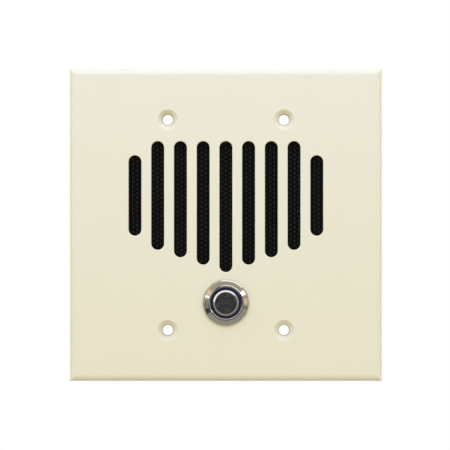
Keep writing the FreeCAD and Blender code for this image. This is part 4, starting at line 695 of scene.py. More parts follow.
@dataclass(frozen=True)
class Winding(Finish):
    """Enamelled wire wound turn by turn along y."""

    wire: float = 0.16 * MM
    lacquer_size: float = 0.8 * MM

    def lay(self, maker: MaterialMaker) -> None:
        """Round turns side by side, darker between them, under lacquer of uneven tone.

        Args:
            maker: The material being made.
        """
        _, y, _ = maker.axes(maker.points())
        turns = y.ripple(self.wire)
        lacquer = maker.noise(self.lacquer_size, 3.0)
        maker.set(
            Base_Color=self.tone(maker, turns * lacquer.span(0.8, 1.1), 0.35, 1.0),
            Metallic=0.75,
            Roughness=self.gloss(lacquer, 0.05, 0.1),
            Coat_Weight=0.5, Coat_Roughness=0.2,
        )
        maker.relief(turns, self.wire / 3)


@dataclass(frozen=True)
class StiffCloth(Finish):
    """Open cotton cloth stiffened with amber resin."""

    thread: float = 0.42 * MM
    resin_size: float = 1.2 * MM

    def lay(self, maker: MaterialMaker) -> None:
        """Two sets of threads with resin beads at their crossings.

        Args:
            maker: The material being made.
        """
        x, _, z = maker.axes(maker.points())
        threads = maker.math("MAXIMUM", x.ripple(self.thread), z.ripple(self.thread))
        resin = maker.noise(self.resin_size, 3.0)
        maker.set(
            Base_Color=self.tone(maker, threads * resin.span(0.7, 1.2), 0.35, 1.2),
            Roughness=self.gloss(resin, 0.1, 0.1),
            Coat_Weight=0.15, Coat_Roughness=0.3,
        )
        maker.relief(threads, self.thread / 5)


@dataclass(frozen=True)
class Foam(Finish):
    """Closed-cell foam with its skin cut away."""

    cell: float = 0.45 * MM
    small_share: float = 0.45

    def lay(self, maker: MaterialMaker) -> None:
        """Cut cells of mixed sizes.

        Args:
            maker: The material being made.
        """
        walls = maker.cells(self.cell)
        small = maker.cells(self.cell * self.small_share)
        maker.set(
            Base_Color=self.tone(maker, walls, 0.45, 2.0),
            Roughness=self.gloss(small, 0.1, 0.05),
            Specular_IOR_Level=0.2,
        )
        maker.relief(walls, self.cell / 3)
        maker.relief(small, self.cell / 8)


@dataclass(frozen=True)
class Sinter(Finish):
    """Sintered ferrite: dull, pitted and a little sparkling."""

    pit_size: float = 0.5 * MM
    pit_depth: float = 0.03 * MM
    dust_size: float = 2.2 * MM
    dust_depth: float = 0.015 * MM
    glint_size: float = 0.08 * MM

    def lay(self, maker: MaterialMaker) -> None:
        """Pits, grey dust and fine crystal glints.

        Args:
            maker: The material being made.
        """
        pits = maker.cells(self.pit_size).rise(0.05, 0.25)
        dust = maker.noise(self.dust_size, 4.0, 0.6)
        glints = maker.noise(self.glint_size, 1.0).rise(0.66, 0.72)
        maker.set(
            Base_Color=self.tone(maker, dust * pits, 0.6, 1.9),
            Metallic=glints * 0.6,
            Roughness=self.gloss(1 - glints, 0.3, 0.0),
        )
        maker.relief(pits, self.pit_depth)
        maker.relief(dust, self.dust_depth)


@dataclass(frozen=True)
class Laminate(Finish):
    """Resin-bonded paper board with its plies showing on the edge."""

    fibre_size: Triple = (0.25 * MM, 0.25 * MM, 1.6 * MM)
    fibre_depth: float = 0.01 * MM
    ply: float = 0.2 * MM

    def lay(self, maker: MaterialMaker) -> None:
        """Pressed fibres on the face and fine plies along y.

        Args:
            maker: The material being made.
        """
        fibres = maker.noise(self.fibre_size, 4.0, 0.65)
        _, y, _ = maker.axes(maker.points())
        plies = y.ripple(self.ply)
        maker.set(
            Base_Color=self.tone(maker, fibres * plies.span(0.7, 1.0), 0.5, 1.5),
            Roughness=self.gloss(fibres, 0.1, 0.12),
        )
        maker.relief(fibres, self.fibre_depth)


@dataclass(frozen=True)
class SolderMask(Finish):
    """Green solder mask over glass cloth, which shows faintly through it."""

    thread: float = 0.6 * MM
    thread_depth: float = 0.006 * MM
    pour_size: float = 6 * MM
    pour_depth: float = 0.01 * MM

    def lay(self, maker: MaterialMaker) -> None:
        """A ghost of the glass weave and the pour marks of the mask.

        Args:
            maker: The material being made.
        """
        x, _, z = maker.axes(maker.points())
        weave = x.ripple(self.thread) * z.ripple(self.thread)
        pour = maker.noise(self.pour_size, 3.0)
        maker.set(
            Base_Color=self.tone(maker, weave * 0.45 + pour * 0.55, 0.7, 1.35),
            Roughness=self.gloss(pour, 0.06, 0.1),
            Coat_Weight=0.3, Coat_Roughness=0.1,
        )
        maker.relief(weave, self.thread_depth)
        maker.relief(pour, self.pour_depth)


@dataclass(frozen=True)
class ShrinkSleeve(Finish):
    """A can in a printed shrink sleeve, open at its end over the bare aluminium.

    Attributes:
        middle: The point between the pair of cans.
        spacing: How far apart they are along z.
        can_radius: The radius of each.
        end: Where their ends are along y.
        metal, stripe: The colours of the ends and of the stripe on the sleeves.
        end_edge: How far before the end the sleeve gives way to metal.
        score_width, score_depth: The scores that cross the end.
        wrinkle_size, wrinkle_depth: The sleeve's wrinkles.
    """

    middle: Triple
    spacing: float
    can_radius: float
    end: float
    metal: Colour = (0.7, 0.7, 0.69)
    stripe: Colour = (0.5, 0.53, 0.58)
    end_edge: Pair = (0.5 * MM, 0.4 * MM)
    score_width: Pair = (0.1 * MM, 0.22 * MM)
    score_depth: float = 0.12 * MM
    wrinkle_size: Triple = (1.2 * MM, 4 * MM, 1.2 * MM)
    wrinkle_depth: float = 0.012 * MM

    def lay(self, maker: MaterialMaker) -> None:
        """A pale stripe down one side of each can, and a scored metal end.

        Args:
            maker: The material being made.
        """
        x, y, z = maker.axes(maker.points(self.middle))
        z = abs(z) - self.spacing / 2
        can = self.can_radius
        inside = 1 - ((x * x + z * z) ** 0.5).rise(can * 0.8, can * 0.84)
        metal = inside * y.rise(self.end - self.end_edge[0], self.end - self.end_edge[1])
        stripe = (1 - abs(z).rise(can * 0.34, can * 0.38)) * (1 - x.rise(-can * 0.84, -can * 0.8))
        score = 1 - maker.math("MINIMUM", abs(x), abs(z)).rise(*self.score_width)
        wrinkle = maker.noise(self.wrinkle_size, 3.0)
        maker.set(
            Base_Color=maker.mix(metal, maker.mix(stripe, self.colour, self.stripe), self.metal),
            Metallic=metal,
            Roughness=self.gloss(wrinkle, 0.05, 0.15),
        )
        maker.relief(wrinkle, self.wrinkle_depth)
        maker.relief(1 - score * metal, self.score_depth)


@dataclass(frozen=True)
class BandedLacquer(Finish):
    """Lacquered resistor bodies with four painted bands, and bare tinned wires.

    Attributes:
        middle: The middle of the bodies.
        half_length: Half a body's length along x.
        places: Where the bands are, as shares of that length.
        bands: Their colours.
        band_edge: Where a band fades, from its middle.
        wire, wire_edge: The wires' colour, and how far past the body's end it takes to show.
        lump_size, lump_depth: The lumps of the lacquer.
    """

    middle: Triple
    half_length: float
    places: tuple[float, ...] = (-0.62, -0.24, 0.08, 0.62)
    bands: tuple[Colour, ...] = (
        (0.16, 0.05, 0.02), (0.01, 0.01, 0.01), (0.45, 0.03, 0.02), (0.5, 0.33, 0.07))
    band_edge: Pair = (0.2 * MM, 0.28 * MM)
    wire: Colour = (0.66, 0.65, 0.62)
    wire_edge: float = 0.03 * MM
    lump_size: float = 0.9 * MM
    lump_depth: float = 0.03 * MM

    def lay(self, maker: MaterialMaker) -> None:
        """Bands across the bodies, at their places along x.

        Args:
            maker: The material being made.
        """
        x, _, _ = maker.axes(maker.points(self.middle))
        paint: Value = self.colour
        for place, colour in zip(self.places, self.bands):
            band = 1 - abs(x - place * self.half_length).rise(*self.band_edge)
            paint = maker.mix(band, paint, colour)
        lumps = maker.noise(self.lump_size, 3.0)
        wire = abs(x).rise(self.half_length, self.half_length + self.wire_edge)
        maker.set(
            Base_Color=maker.mix(wire, paint, self.wire),
            Metallic=wire,
            Roughness=self.gloss(lumps, 0.05, 0.15),
            Coat_Weight=(1 - wire) * 0.4, Coat_Roughness=0.15,
        )
        maker.relief(lumps, self.lump_depth)


@dataclass(frozen=True)
class PaleFloor(Finish):
    """The studio's floor, which turns to the white of the background towards its rim."""

    fade: Pair = (0.3, 0.9)
    glow: float = 0.7
    grain_size: float = 0.02

    def lay(self, maker: MaterialMaker) -> None:
        """Fade to a white glow that only the camera, mirrors and glass see.

        Args:
            maker: The material being made.
        """
        x, y, _ = maker.axes(maker.points())
        away = (x * x + y * y) ** 0.5
        share = away.rise(*self.fade).span(self.glow, 1.0) * maker.seen()
        grain = maker.noise(self.grain_size, 3.0)
        maker.set(Base_Color=self.tone(maker, grain, 0.99, 1.0), Specular_IOR_Level=0.1)
        shader = Signal(maker, maker.shader.outputs[0])
        glow = maker.node("ShaderNodeEmission", {}, {"Color": WHITE, "Strength": 1.0})
        surface = maker.node("ShaderNodeMixShader", {}, {0: share, 1: shader, 2: glow})
        output = next(node for node in maker.tree.nodes if node.type == "OUTPUT_MATERIAL")
        maker.feed(output.inputs["Surface"], surface)


# Pieces

@dataclass
class SubAssembly:
    """Pieces that belong together: some are dressed as they come, some are built anew."""

    nodes: dict[str, bpy.types.Object]

    def dress(self, finish: Finish, *names: str) -> None:
        """Give pieces of the frame a finish.

        Args:
            finish: The finish.
            names: The pieces' nodes.
        """
        for name in names:
            for holder in self.nodes[name].material_slots:
                holder.material = finish.material()
            log.info("%s dressed in %s", name, finish.name)

    def build(self) -> None:
        """Build and dress everything in this group."""
        raise NotImplementedError


def centre_of(node: str) -> Vector:
    """The middle of a node's box."""
    low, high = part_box(node)
    return (low + high) / 2


def size_of(node: str) -> Vector:
    """The size of a node's box."""
    low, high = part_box(node)
    return high - low


def finished(name: str, shape: bmesh.types.BMesh, finish: Finish, body: str | None,
             replaces: Sequence[str] = (), sharp: float = 40.0) -> bpy.types.Object:
    """Turn a modelled shape into a piece of the object.

    Args:
        name: The piece's name.
        shape: The shape, in place, which is freed.
        finish: Its finish.
        body: The body that it rides on, or None for a piece that is bent between two afterwards.
        replaces: The nodes that it stands for.
        sharp: Edges that turn by more than this many degrees stay sharp.

    Returns:
        The new object.
    """
    mesh = bpy.data.meshes.new(name)
    for face in shape.faces:
        face.smooth = True
    for edge in shape.edges:
        edge.smooth = len(edge.link_faces) == 2 and edge.calc_face_angle(0.0) < math.radians(sharp)
    shape.to_mesh(mesh)
    shape.free()
    piece = bpy.data.objects.new(name, mesh)
    bpy.context.scene.collection.objects.link(piece)
    mesh.materials.append(finish.material())
    if body:
        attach(piece, body)
    if replaces:
        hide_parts(*replaces)
    log.info("%s built with %d faces on %s", name, len(mesh.polygons), body or "two bodies")
    return piece


def spun(profile: Iterable[Pair], centre: Vector, closed: bool,
         steps: int = 96) -> bmesh.types.BMesh:
    """A shape turned round an axis along y.

    Args:
        profile: Radius and depth of each corner, in metres, depth from the centre.
        centre: A point on the axis.
        closed: Whether the profile's last corner joins its first.
        steps: Facets round the turn.

    Returns:
        The shape with its normals outwards.
    """
    shape = bmesh.new()
    corners = [shape.verts.new(centre + Vector((radius, depth, 0.0))) for radius, depth in profile]
    for first, second in zip(corners, corners[1:]):
        shape.edges.new((first, second))
    if closed:
        shape.edges.new((corners[-1], corners[0]))
    bmesh.ops.spin(
        shape, geom=shape.verts[:] + shape.edges[:], cent=centre, axis=(0.0, 1.0, 0.0),
        angle=2 * math.pi, steps=steps, use_merge=True,
    )
    bmesh.ops.remove_doubles(shape, verts=shape.verts[:], dist=WELD)
    bmesh.ops.recalc_face_normals(shape, faces=shape.faces[:])
    return shape


def thicken(shape: bmesh.types.BMesh, thickness: float) -> None:
    """Give an open shape a thickness in metres."""
    bmesh.ops.solidify(shape, geom=shape.faces[:], thickness=thickness)
    bmesh.ops.recalc_face_normals(shape, faces=shape.faces[:])


@dataclass
class FacePlate(SubAssembly):
    """The cast plate, which is right as it comes and gets its powder coat."""

    coat: PowderCoat = PowderCoat("ivory_powder_coat", (0.83, 0.80, 0.615), 0.42)

    def build(self) -> None:
        """Coat the plate."""
        self.dress(self.coat, "face_plate")


@dataclass
class Grille(SubAssembly):
    """The woven cloth behind the slots.

    Attributes:
        yarn: Its finish, with its weave.
        across, down: How many faces its grid has along x and along z.
        corner: The rounding of its corners.
        post_inset: From its edges to the middle of the hole for a post.
        post_clearance: The radius of that hole.
        middle_share: Where its middle plane is, from the front (0) to the back of its node's box.
    """

    yarn: WovenYarn = WovenYarn("black_woven_yarn", (0.0052, 0.0054, 0.0056), 0.85)
    across: int = 364
    down: int = 249
    corner: float = 2.6 * MM
    post_inset: float = 4.6 * MM
    post_clearance: float = 2.8 * MM
    middle_share: float = 0.5

    def build(self) -> None:
        """Weave the cloth, cut it round the posts and lay it in the recess."""
        low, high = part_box("grille_cloth")
        width = high.x - low.x
        length = high.z - low.z
        shape = bmesh.new()
        bmesh.ops.create_grid(shape, x_segments=self.across, y_segments=self.down, size=0.5)
        bmesh.ops.scale(shape, vec=(width, length, 1.0), verts=shape.verts[:])
        upright = Matrix.Rotation(math.pi / 2, 3, "X")
        bmesh.ops.rotate(shape, cent=(0, 0, 0), matrix=upright, verts=shape.verts[:])
        bmesh.ops.translate(shape, vec=(low + high) / 2, verts=shape.verts[:])
        self.cut_round_posts(shape, low, high)
        self.round_corners(shape, low, high)
        middle = low.y + (high.y - low.y) * self.middle_share
        for vertex in shape.verts:
            vertex.co.y = middle - self.yarn.weave.height(vertex.co.x, vertex.co.z)
        cloth = finished(
            "woven_cloth", shape, self.yarn, "station", ["grille_cloth"], 180.0)

    def posts(self, low: Vector, high: Vector) -> list[Vector]:
        """The plate's posts that go through the cloth.

        Args:
            low: The cloth's lowest corner.
            high: Its highest corner.

        Returns:
            The four centres, at y = 0.
        """
        return [
            Vector((x, 0.0, z))
            for x in (low.x + self.post_inset, high.x - self.post_inset)
            for z in (low.z + self.post_inset, high.z - self.post_inset)
        ]

    def cut_round_posts(self, shape: bmesh.types.BMesh, low: Vector, high: Vector) -> None:
        """Open a round hole in the cloth for each post.

        Args:
            shape: The cloth, which is changed.
            low: Its lowest corner.
            high: Its highest corner.
        """
        for post in self.posts(low, high):
            inside = [
                vertex for vertex in shape.verts
                if math.hypot(vertex.co.x - post.x, vertex.co.z - post.z) < self.post_clearance
            ]
            edge = {
                other for vertex in inside for face in vertex.link_faces for other in face.verts
            }
            bmesh.ops.delete(shape, geom=inside, context="VERTS")
            for vertex in edge:
                if vertex.is_valid:
                    arm = Vector((vertex.co.x - post.x, 0.0, vertex.co.z - post.z))
                    arm.length = self.post_clearance
                    vertex.co.x = post.x + arm.x
                    vertex.co.z = post.z + arm.z

    def round_corners(self, shape: bmesh.types.BMesh, low: Vector, high: Vector) -> None:
        """Draw the cloth's square corners in to their rounding.

        Args:
            shape: The cloth, which is changed.
            low: Its lowest corner.
            high: Its highest corner.
        """
        for vertex in shape.verts:
            x = min(max(vertex.co.x, low.x + self.corner), high.x - self.corner)
            z = min(max(vertex.co.z, low.z + self.corner), high.z - self.corner)
            arm = Vector((vertex.co.x - x, 0.0, vertex.co.z - z))
            if arm.length > self.corner:
                arm.length = self.corner
                vertex.co.x = x + arm.x
                vertex.co.z = z + arm.z
        bmesh.ops.dissolve_degenerate(shape, dist=10 * WELD, edges=shape.edges[:])


@dataclass
class Baffle(SubAssembly):
    """The moulding behind the cloth, with its screws and the clips for the speaker."""

    plastic: Moulding = Moulding("black_moulded_baffle", (0.02, 0.02, 0.021), 0.55,
                                 0.5 * MM, 0.02 * MM)
    zinc: Metal = Metal("zinc_plated_steel", (0.62, 0.61, 0.57), 0.3, Working.PLATED,
                        0.003 * MM, (0.42, 0.37, 0.25), 0.5)

    def build(self) -> None:
        """Dress the moulding and its fixings."""
        self.dress(self.plastic, "speaker_baffle")
        self.dress(self.zinc, "baffle_screws", "clip_screws", "board_screws", "speaker_clips")


@dataclass
class Speaker(SubAssembly):
    """The speaker, with its soft parts built anew.

    Attributes:
        foam, rubber, film, foil, wire, cloth, pressed, ferrite, paper, tin: The finishes.
        ring_steps: The facets round the gasket and the surround.
        gasket_width, gasket_round: The foam ring's width and the rounding of its edges.
        roll_inset, roll_radius: From the surround's rim to its roll's middle, and its radius.
        roll_fullness: Below 1, the roll is fuller than a half circle.
        roll_steps: The facets across the roll.
        outer_lip: How far outside the roll the flat outer lip ends.
        inner_lip: How far inside the roll the flat inner lip starts and ends.
        rubber_middle, rubber_skin: How far before the basket the lips are, and how thick.
        spider_rim, spider_neck: The spider's flat rim, and its inner radius.
        spider_waves, spider_height: How many waves it has and how high they stand.
        spider_skin: How thick it is.
        spider_hold: How far outside its neck it still moves as far as the coil.
        wave_steps, wave_fade: The facets of a wave, and how fast the waves grow at both ends.
    """

    foam: Foam = Foam("closed_cell_foam", (0.02, 0.02, 0.02), 0.9)
    rubber: Moulding = Moulding("black_rubber", (0.018, 0.018, 0.018), 0.62,
                                0.25 * MM, 0.004 * MM, 0.1, 0.4)
    film: Moulding = Moulding("pressed_cone_film", (0.03, 0.028, 0.026), 0.5,
                              0.6 * MM, 0.012 * MM, 0.25)
    foil: Metal = Metal("rolled_aluminium_foil", (0.75, 0.75, 0.76), 0.28, Working.ROLLED)
    wire: Winding = Winding("enamelled_copper_wire", (0.62, 0.27, 0.12), 0.3)
    cloth: StiffCloth = StiffCloth("resin_stiffened_cloth", (0.42, 0.28, 0.1), 0.6)
    pressed: Metal = Metal("pressed_plated_steel", (0.5, 0.5, 0.48), 0.33, Working.PRESSED,
                           0.02 * MM, (0.34, 0.31, 0.24), 0.35)
    ferrite: Sinter = Sinter("sintered_ferrite", (0.045, 0.045, 0.048), 0.75)
    paper: Laminate = Laminate("laminated_paper_board", (0.24, 0.12, 0.05), 0.55)
    tin: Metal = Metal("tinned_brass", (0.7, 0.69, 0.66), 0.34, Working.PLATED,
                       0.006 * MM, (0.45, 0.43, 0.4), 0.4)
    ring_steps: int = 128
    gasket_width: float = 2.9 * MM
    gasket_round: float = 0.18 * MM
    roll_inset: float = 4.35 * MM
    roll_radius: float = 1.3 * MM
    roll_fullness: float = 0.85
    roll_steps: int = 20
    outer_lip: float = 0.35 * MM
    inner_lip: Pair = (0.3 * MM, 0.75 * MM)
    rubber_middle: float = 0.15 * MM
    rubber_skin: float = 0.27 * MM
    spider_rim: float = 1.55 * MM
    spider_neck: float = 6.8 * MM
    spider_waves: int = 3
    spider_height: float = 0.38 * MM
    spider_skin: float = 0.24 * MM
    spider_hold: float = 1.5 * MM
    wave_steps: int = 10
    wave_fade: float = 6.0

    def build(self) -> None:
        """Build the gasket, the surround and the spider, and dress the rest."""
        self.build_gasket()
        self.build_surround()
        self.build_spider()
        self.dress(self.film, "speaker_cone", "dust_cap")
        self.dress(self.foil, "coil_former")
        self.dress(self.wire, "voice_coil")
        self.dress(self.pressed, "speaker_basket", "speaker_top_plate", "speaker_yoke")
        self.dress(self.ferrite, "speaker_magnet")
        self.dress(self.paper, "speaker_tag_board")
        self.dress(self.tin, "speaker_tags")

    def build_gasket(self) -> None:
        """The foam ring under the speaker's flange, with its cut edges a little round."""
        size = size_of("speaker_gasket")
        outer = size.x / 2
        inner = outer - self.gasket_width
        half = size.y / 2
        shape = spun(
            [(inner, -half), (outer, -half), (outer, half), (inner, half)],
            centre_of("speaker_gasket"), True, self.ring_steps,
        )
        rims = [edge for edge in shape.edges if edge.calc_face_angle(0.0) > 1.0]
        bmesh.ops.bevel(
            shape, geom=rims, offset=self.gasket_round, affect="EDGES", segments=3, profile=0.5,
            material=-1, clamp_overlap=True,
        )
        finished("foam_gasket", shape, self.foam, "station", ["speaker_gasket"])

    def build_surround(self) -> None:
        """The half roll of rubber between the flange and the cone."""
        centre = centre_of("speaker_surround")
        centre.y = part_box("speaker_basket")[0].y
        rim = size_of("speaker_surround").x / 2
        roll = rim - self.roll_inset
        outer = roll + self.roll_radius
        inner = roll - self.roll_radius
        middle = -self.rubber_middle
        profile = [(rim, middle), (outer + self.outer_lip, middle)]
        for step in range(1, self.roll_steps):
            angle = math.pi * step / self.roll_steps
            bulge = math.sin(angle) ** self.roll_fullness
            profile.append((
                roll + self.roll_radius * math.cos(angle),
                middle - (self.roll_radius + middle) * bulge,
            ))
        profile += [(inner - lip, middle) for lip in self.inner_lip]
        shape = spun(profile, centre, False, self.ring_steps)
        thicken(shape, self.rubber_skin)
        surround = finished(
            "rolled_surround", shape, self.rubber, None, ["speaker_surround"])
        self.bend_with_cone(surround, centre, outer, inner)

    def build_spider(self) -> None:
        """The corrugated cloth ring that centres the coil."""
        centre = centre_of("speaker_spider")
        rim = size_of("speaker_spider").x / 2
        outer = rim - self.spider_rim
        reach = outer - self.spider_neck
        profile = [(rim, 0.0), (outer, 0.0)]
        steps = self.spider_waves * self.wave_steps
        for step in range(1, steps):
            share = step / steps
            fade = min(1.0, self.wave_fade * share, self.wave_fade * (1 - share))
            wave = -math.sin(2 * math.pi * self.spider_waves * share)
            profile.append((outer - reach * share, self.spider_height * fade * wave))
        profile.append((self.spider_neck, 0.0))
        shape = spun(profile, centre, False)
        thicken(shape, self.spider_skin)
        spider = finished(
            "corrugated_spider", shape, self.cloth, None, ["speaker_spider"])
        self.bend_with_cone(spider, centre, outer, self.spider_neck + self.spider_hold)

    def bend_with_cone(self, ring: bpy.types.Object, centre: Vector, outer: float,
                       inner: float) -> None:
        """Let a ring stay with the basket at its rim and follow the cone at its middle.

        Args:
            ring: The piece, which rides on nothing yet.
            centre: A point on its axis.
            outer: The radius outside which it stays still.
            inner: The radius inside which it moves as far as the cone.
        """
        along = Vector((1.0, 0.0, 0.0))
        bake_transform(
            ring, "station", "cone_assembly",
            start=centre + along * outer, end=centre + along * inner)
        weights = ring.data.attributes["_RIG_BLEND"].data
        for vertex, weight in zip(ring.data.vertices, weights):
            radius = math.hypot(vertex.co.x - centre.x, vertex.co.z - centre.z)
            share = min(max((outer - radius) / (outer - inner), 0.0), 1.0)
            weight.value = share * share * (3 - 2 * share)


@dataclass
class Microphone(SubAssembly):
    """The microphone capsule in its rubber boot."""

    rubber: Moulding = Moulding("soft_boot_rubber", (0.016, 0.016, 0.016), 0.7,
                                0.3 * MM, 0.006 * MM, 0.15, 0.35)
    can: Metal = Metal("drawn_aluminium", (0.68, 0.68, 0.69), 0.25, Working.DRAWN, 0.002 * MM)

    def build(self) -> None:
        """Dress the boot and the capsule."""
        self.dress(self.rubber, "microphone_boot")
        self.dress(self.can, "microphone_capsule")


@dataclass
class Board(SubAssembly):
    """The circuit board with its components, tracks and soldered joints.

    Attributes:
        mask, covered_copper, solder, terminal, chip, socket, brass, zinc, tin: The finishes.
        sleeve_colour: The colour of the capacitors' sleeves.
        large_can, small_can: The capacitors' radii.
        resistor_colour, resistor_half: The colour of a resistor's body and half its length.
        part_row: The height along z that the components are centred on, in millimetres.
        track_height: How far the tracks stand above the board.
        fillet: A solder joint's radius and depth from the board outwards, in millimetres.
        fillet_steps: The facets round it.
    """

    mask: SolderMask = SolderMask("green_solder_mask", (0.01, 0.1, 0.035), 0.32)
    covered_copper: SolderMask = SolderMask("masked_copper", (0.03, 0.2, 0.06), 0.3)
    solder: Metal = Metal("bright_solder", (0.72, 0.71, 0.69), 0.22, Working.PLATED,
                          0.01 * MM, (0.5, 0.49, 0.46), 0.4)
    terminal: Moulding = Moulding("green_terminal_moulding", (0.02, 0.22, 0.08), 0.4,
                                  0.4 * MM, 0.006 * MM)
    chip: Moulding = Moulding("black_chip_moulding", (0.014, 0.014, 0.015), 0.6,
                              0.2 * MM, 0.01 * MM, 0.2)
    socket: Moulding = Moulding("white_socket_moulding", (0.72, 0.70, 0.62), 0.42,
                                0.5 * MM, 0.004 * MM, 0.05)
    brass: Metal = Metal("stamped_brass", (0.7, 0.52, 0.22), 0.28, Working.PLATED,
                         0.004 * MM, (0.4, 0.25, 0.1), 0.4)
    zinc: Metal = Metal("zinc_plated_clamp", (0.62, 0.61, 0.57), 0.3, Working.PLATED)
    tin: Metal = Metal("tinned_leg", (0.68, 0.68, 0.66), 0.3, Working.ROLLED)
    sleeve_colour: Colour = (0.015, 0.018, 0.04)
    large_can: float = 4.0 * MM
    small_can: float = 2.5 * MM
    resistor_colour: Colour = (0.5, 0.36, 0.2)
    resistor_half: float = 3.15 * MM
    part_row: float = 7.55
    track_height: float = 0.06 * MM
    fillet: tuple[Pair, ...] = (
        (0.9, 0.0), (0.62, -0.12), (0.42, -0.4), (0.34, -0.8), (0.3, -1.15), (0.0001, -1.25))
    fillet_steps: int = 16

    def build(self) -> None:
        """Dress the board and its components, and lay the tracks and the joints."""
        self.dress(self.mask, "circuit_board")
        self.dress(self.terminal, "terminal_block")
        self.dress(self.zinc, "terminal_clamps", "terminal_screws")
        self.dress(self.chip, "amplifier_chip")
        self.dress(self.tin, "chip_legs")
        self.dress(self.socket, "wire_sockets")
        self.dress(self.brass, "socket_pins")
        self.dress_cans("large_capacitors", "dark_shrink_sleeve", self.large_can)
        self.dress_cans("small_capacitors", "dark_small_sleeve", self.small_can)
        lacquer = BandedLacquer(
            "banded_lacquer", self.resistor_colour, 0.3, tuple(centre_of("resistors")),
            self.resistor_half)
        self.dress(lacquer, "resistors")
        self.lay_tracks()
        self.solder_joints()

    def dress_cans(self, node: str, name: str, radius: float) -> None:
        """Sleeve a pair of capacitors that stand one above the other.

        Args:
            node: The pair's node.
            name: The sleeve's material.
            radius: The radius of a can, in metres.
        """
        middle = centre_of(node)
        spacing = size_of(node).z - 2 * radius
        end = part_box(node)[1].y
        sleeve = ShrinkSleeve(
            name, self.sleeve_colour, 0.28, (middle.x, 0.0, middle.z), spacing, radius, end)
        self.dress(sleeve, node)

    def routes(self) -> list[tuple[float, list[Pair]]]:
        """Where the tracks run.

        Returns:
            Each track's width and its corners in x and z, in millimetres.
        """
        return [
            (1.2, [(-12.7, 24.6), (-12.7, 21.5), (-16.6, 17.6), (-21.0, 17.6), (-21.0, 16.6)]),
            (1.0, [(-7.62, 24.6), (-7.62, 15.6), (-4.71, 12.7), (-4.71, 11.4)]),
            (1.0, [(-2.54, 24.6), (-2.54, 13.9), (-2.17, 13.5), (-2.17, 11.4)]),
            (1.0, [(2.54, 24.6), (2.54, 14.2), (0.37, 12.0), (0.37, 11.4)]),
            (0.8, [(7.62, 24.6), (7.62, 16.2), (6.44, 15.0), (6.44, 13.0)]),
            (0.8, [(12.7, 24.6), (12.7, 18.0), (16.6, 14.1), (16.6, 13.0)]),
            (0.7, [(2.91, 11.4), (2.91, 11.0), (4.56, 9.35), (6.44, 9.35)]),
            (0.7, [(2.91, 3.7), (4.96, 5.75), (6.44, 5.75)]),
            (0.9, [(0.37, 3.7), (0.37, 0.0), (1.25, -0.9), (1.25, -11.2)]),
            (0.9, [(-2.17, 3.7), (-2.17, 0.0), (-1.25, -0.9), (-1.25, -11.2)]),
            (0.7, [(-4.71, 3.7), (-4.71, -2.0), (-10.75, -8.04), (-10.75, -11.2)]),
            (0.7, [(-13.0, 0.4), (-13.0, -4.0), (-13.25, -4.3), (-13.25, -11.2)]),
            (0.7, [(16.6, 2.15), (16.6, -4.0), (13.25, -7.35), (13.25, -11.2)]),
            (0.7, [(6.44, 2.15), (6.44, -3.7), (10.75, -8.0), (10.75, -11.2)]),
            (0.8, [(16.6, 9.35), (19.4, 9.35), (20.6, 8.15), (20.6, 6.95), (19.4, 5.75),
                   (16.6, 5.75)]),
            (2.4, [(-27.0, 22.0), (-27.0, -7.5), (-22.0, -12.5), (-16.0, -12.5)]),
            (2.4, [(16.4, -12.5), (22.0, -12.5), (27.0, -7.5), (27.0, 22.0)]),
        ]

    def lay_tracks(self) -> None:
        """Copper tracks under the mask, between the components."""
        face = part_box("circuit_board")[1].y
        shape = bmesh.new()
        for width, places in self.routes():
            corners = [Vector((x * MM, face, z * MM)) for x, z in places]
            self.lay_track(shape, width * MM, corners)
        bmesh.ops.recalc_face_normals(shape, faces=shape.faces[:])
        finished("board_tracks", shape, self.covered_copper, "station")

    def lay_track(self, shape: bmesh.types.BMesh, width: float, corners: Sequence[Vector]) -> None:
        """One flat track with its bends mitred, thickened away from the board.

        Args:
            shape: The shape that it's added to.
            width: Its width, in metres.
            corners: Its ends and bends, on the board's face.
        """
        up = Vector((0.0, 1.0, 0.0))
        ways = [(end - start).normalized() for start, end in zip(corners, corners[1:])]
        sides = [way.cross(up) * width / 2 for way in ways]
        start = [shape.verts.new(corners[0] + sides[0]), shape.verts.new(corners[0] - sides[0])]
        strip = [shape.edges.new(start)]
        faces = []
        for index in range(1, len(corners)):
            grown = bmesh.ops.extrude_edge_only(shape, edges=strip)["geom"]
            strip = [piece for piece in grown if isinstance(piece, bmesh.types.BMEdge)]
            faces += [piece for piece in grown if isinstance(piece, bmesh.types.BMFace)]
            before = sides[index - 1]
            after = sides[min(index, len(sides) - 1)]
            mitre = (before + after) / (1 + before.dot(after) / before.length_squared)
            ends = [piece for piece in grown if isinstance(piece, bmesh.types.BMVert)]
            for vertex in ends:
                left = (vertex.co - corners[index - 1]).dot(before) > 0
                vertex.co = corners[index] + (mitre if left else -mitre)
        lifted = bmesh.ops.extrude_face_region(shape, geom=faces, use_keep_orig=True)["geom"]
        top = [piece for piece in lifted if isinstance(piece, bmesh.types.BMVert)]
        bmesh.ops.translate(shape, vec=up * self.track_height, verts=top)

    def joint_places(self) -> list[Pair]:
        """Where wires and legs come through the board.

        Returns:
            Their places in x and z, in millimetres.
        """
        row = self.part_row
        both = (-1, 1)
        terminals = [(5.08 * (pole - 2.5), 28.05) for pole in range(6)]
        legs = [(-0.9 + 2.54 * (leg - 1.5), row + side * 3.69) for leg in range(4) for side in both]
        wires = [(11.52 + side * 5.08, row + 3.6 * (at - 1.5)) for at in range(4) for side in both]
        cans = [(-21.0, row + can * 5.6 + side * 1.75) for can in both for side in both]
        cans += [(-13.0, row + can * 5.0 + side * 1.0) for can in both for side in both]
        pins = [(12.0 * socket + side * 1.25, -13.35) for socket in (-1, 0, 1) for side in both]
        return terminals + legs + wires + cans + pins

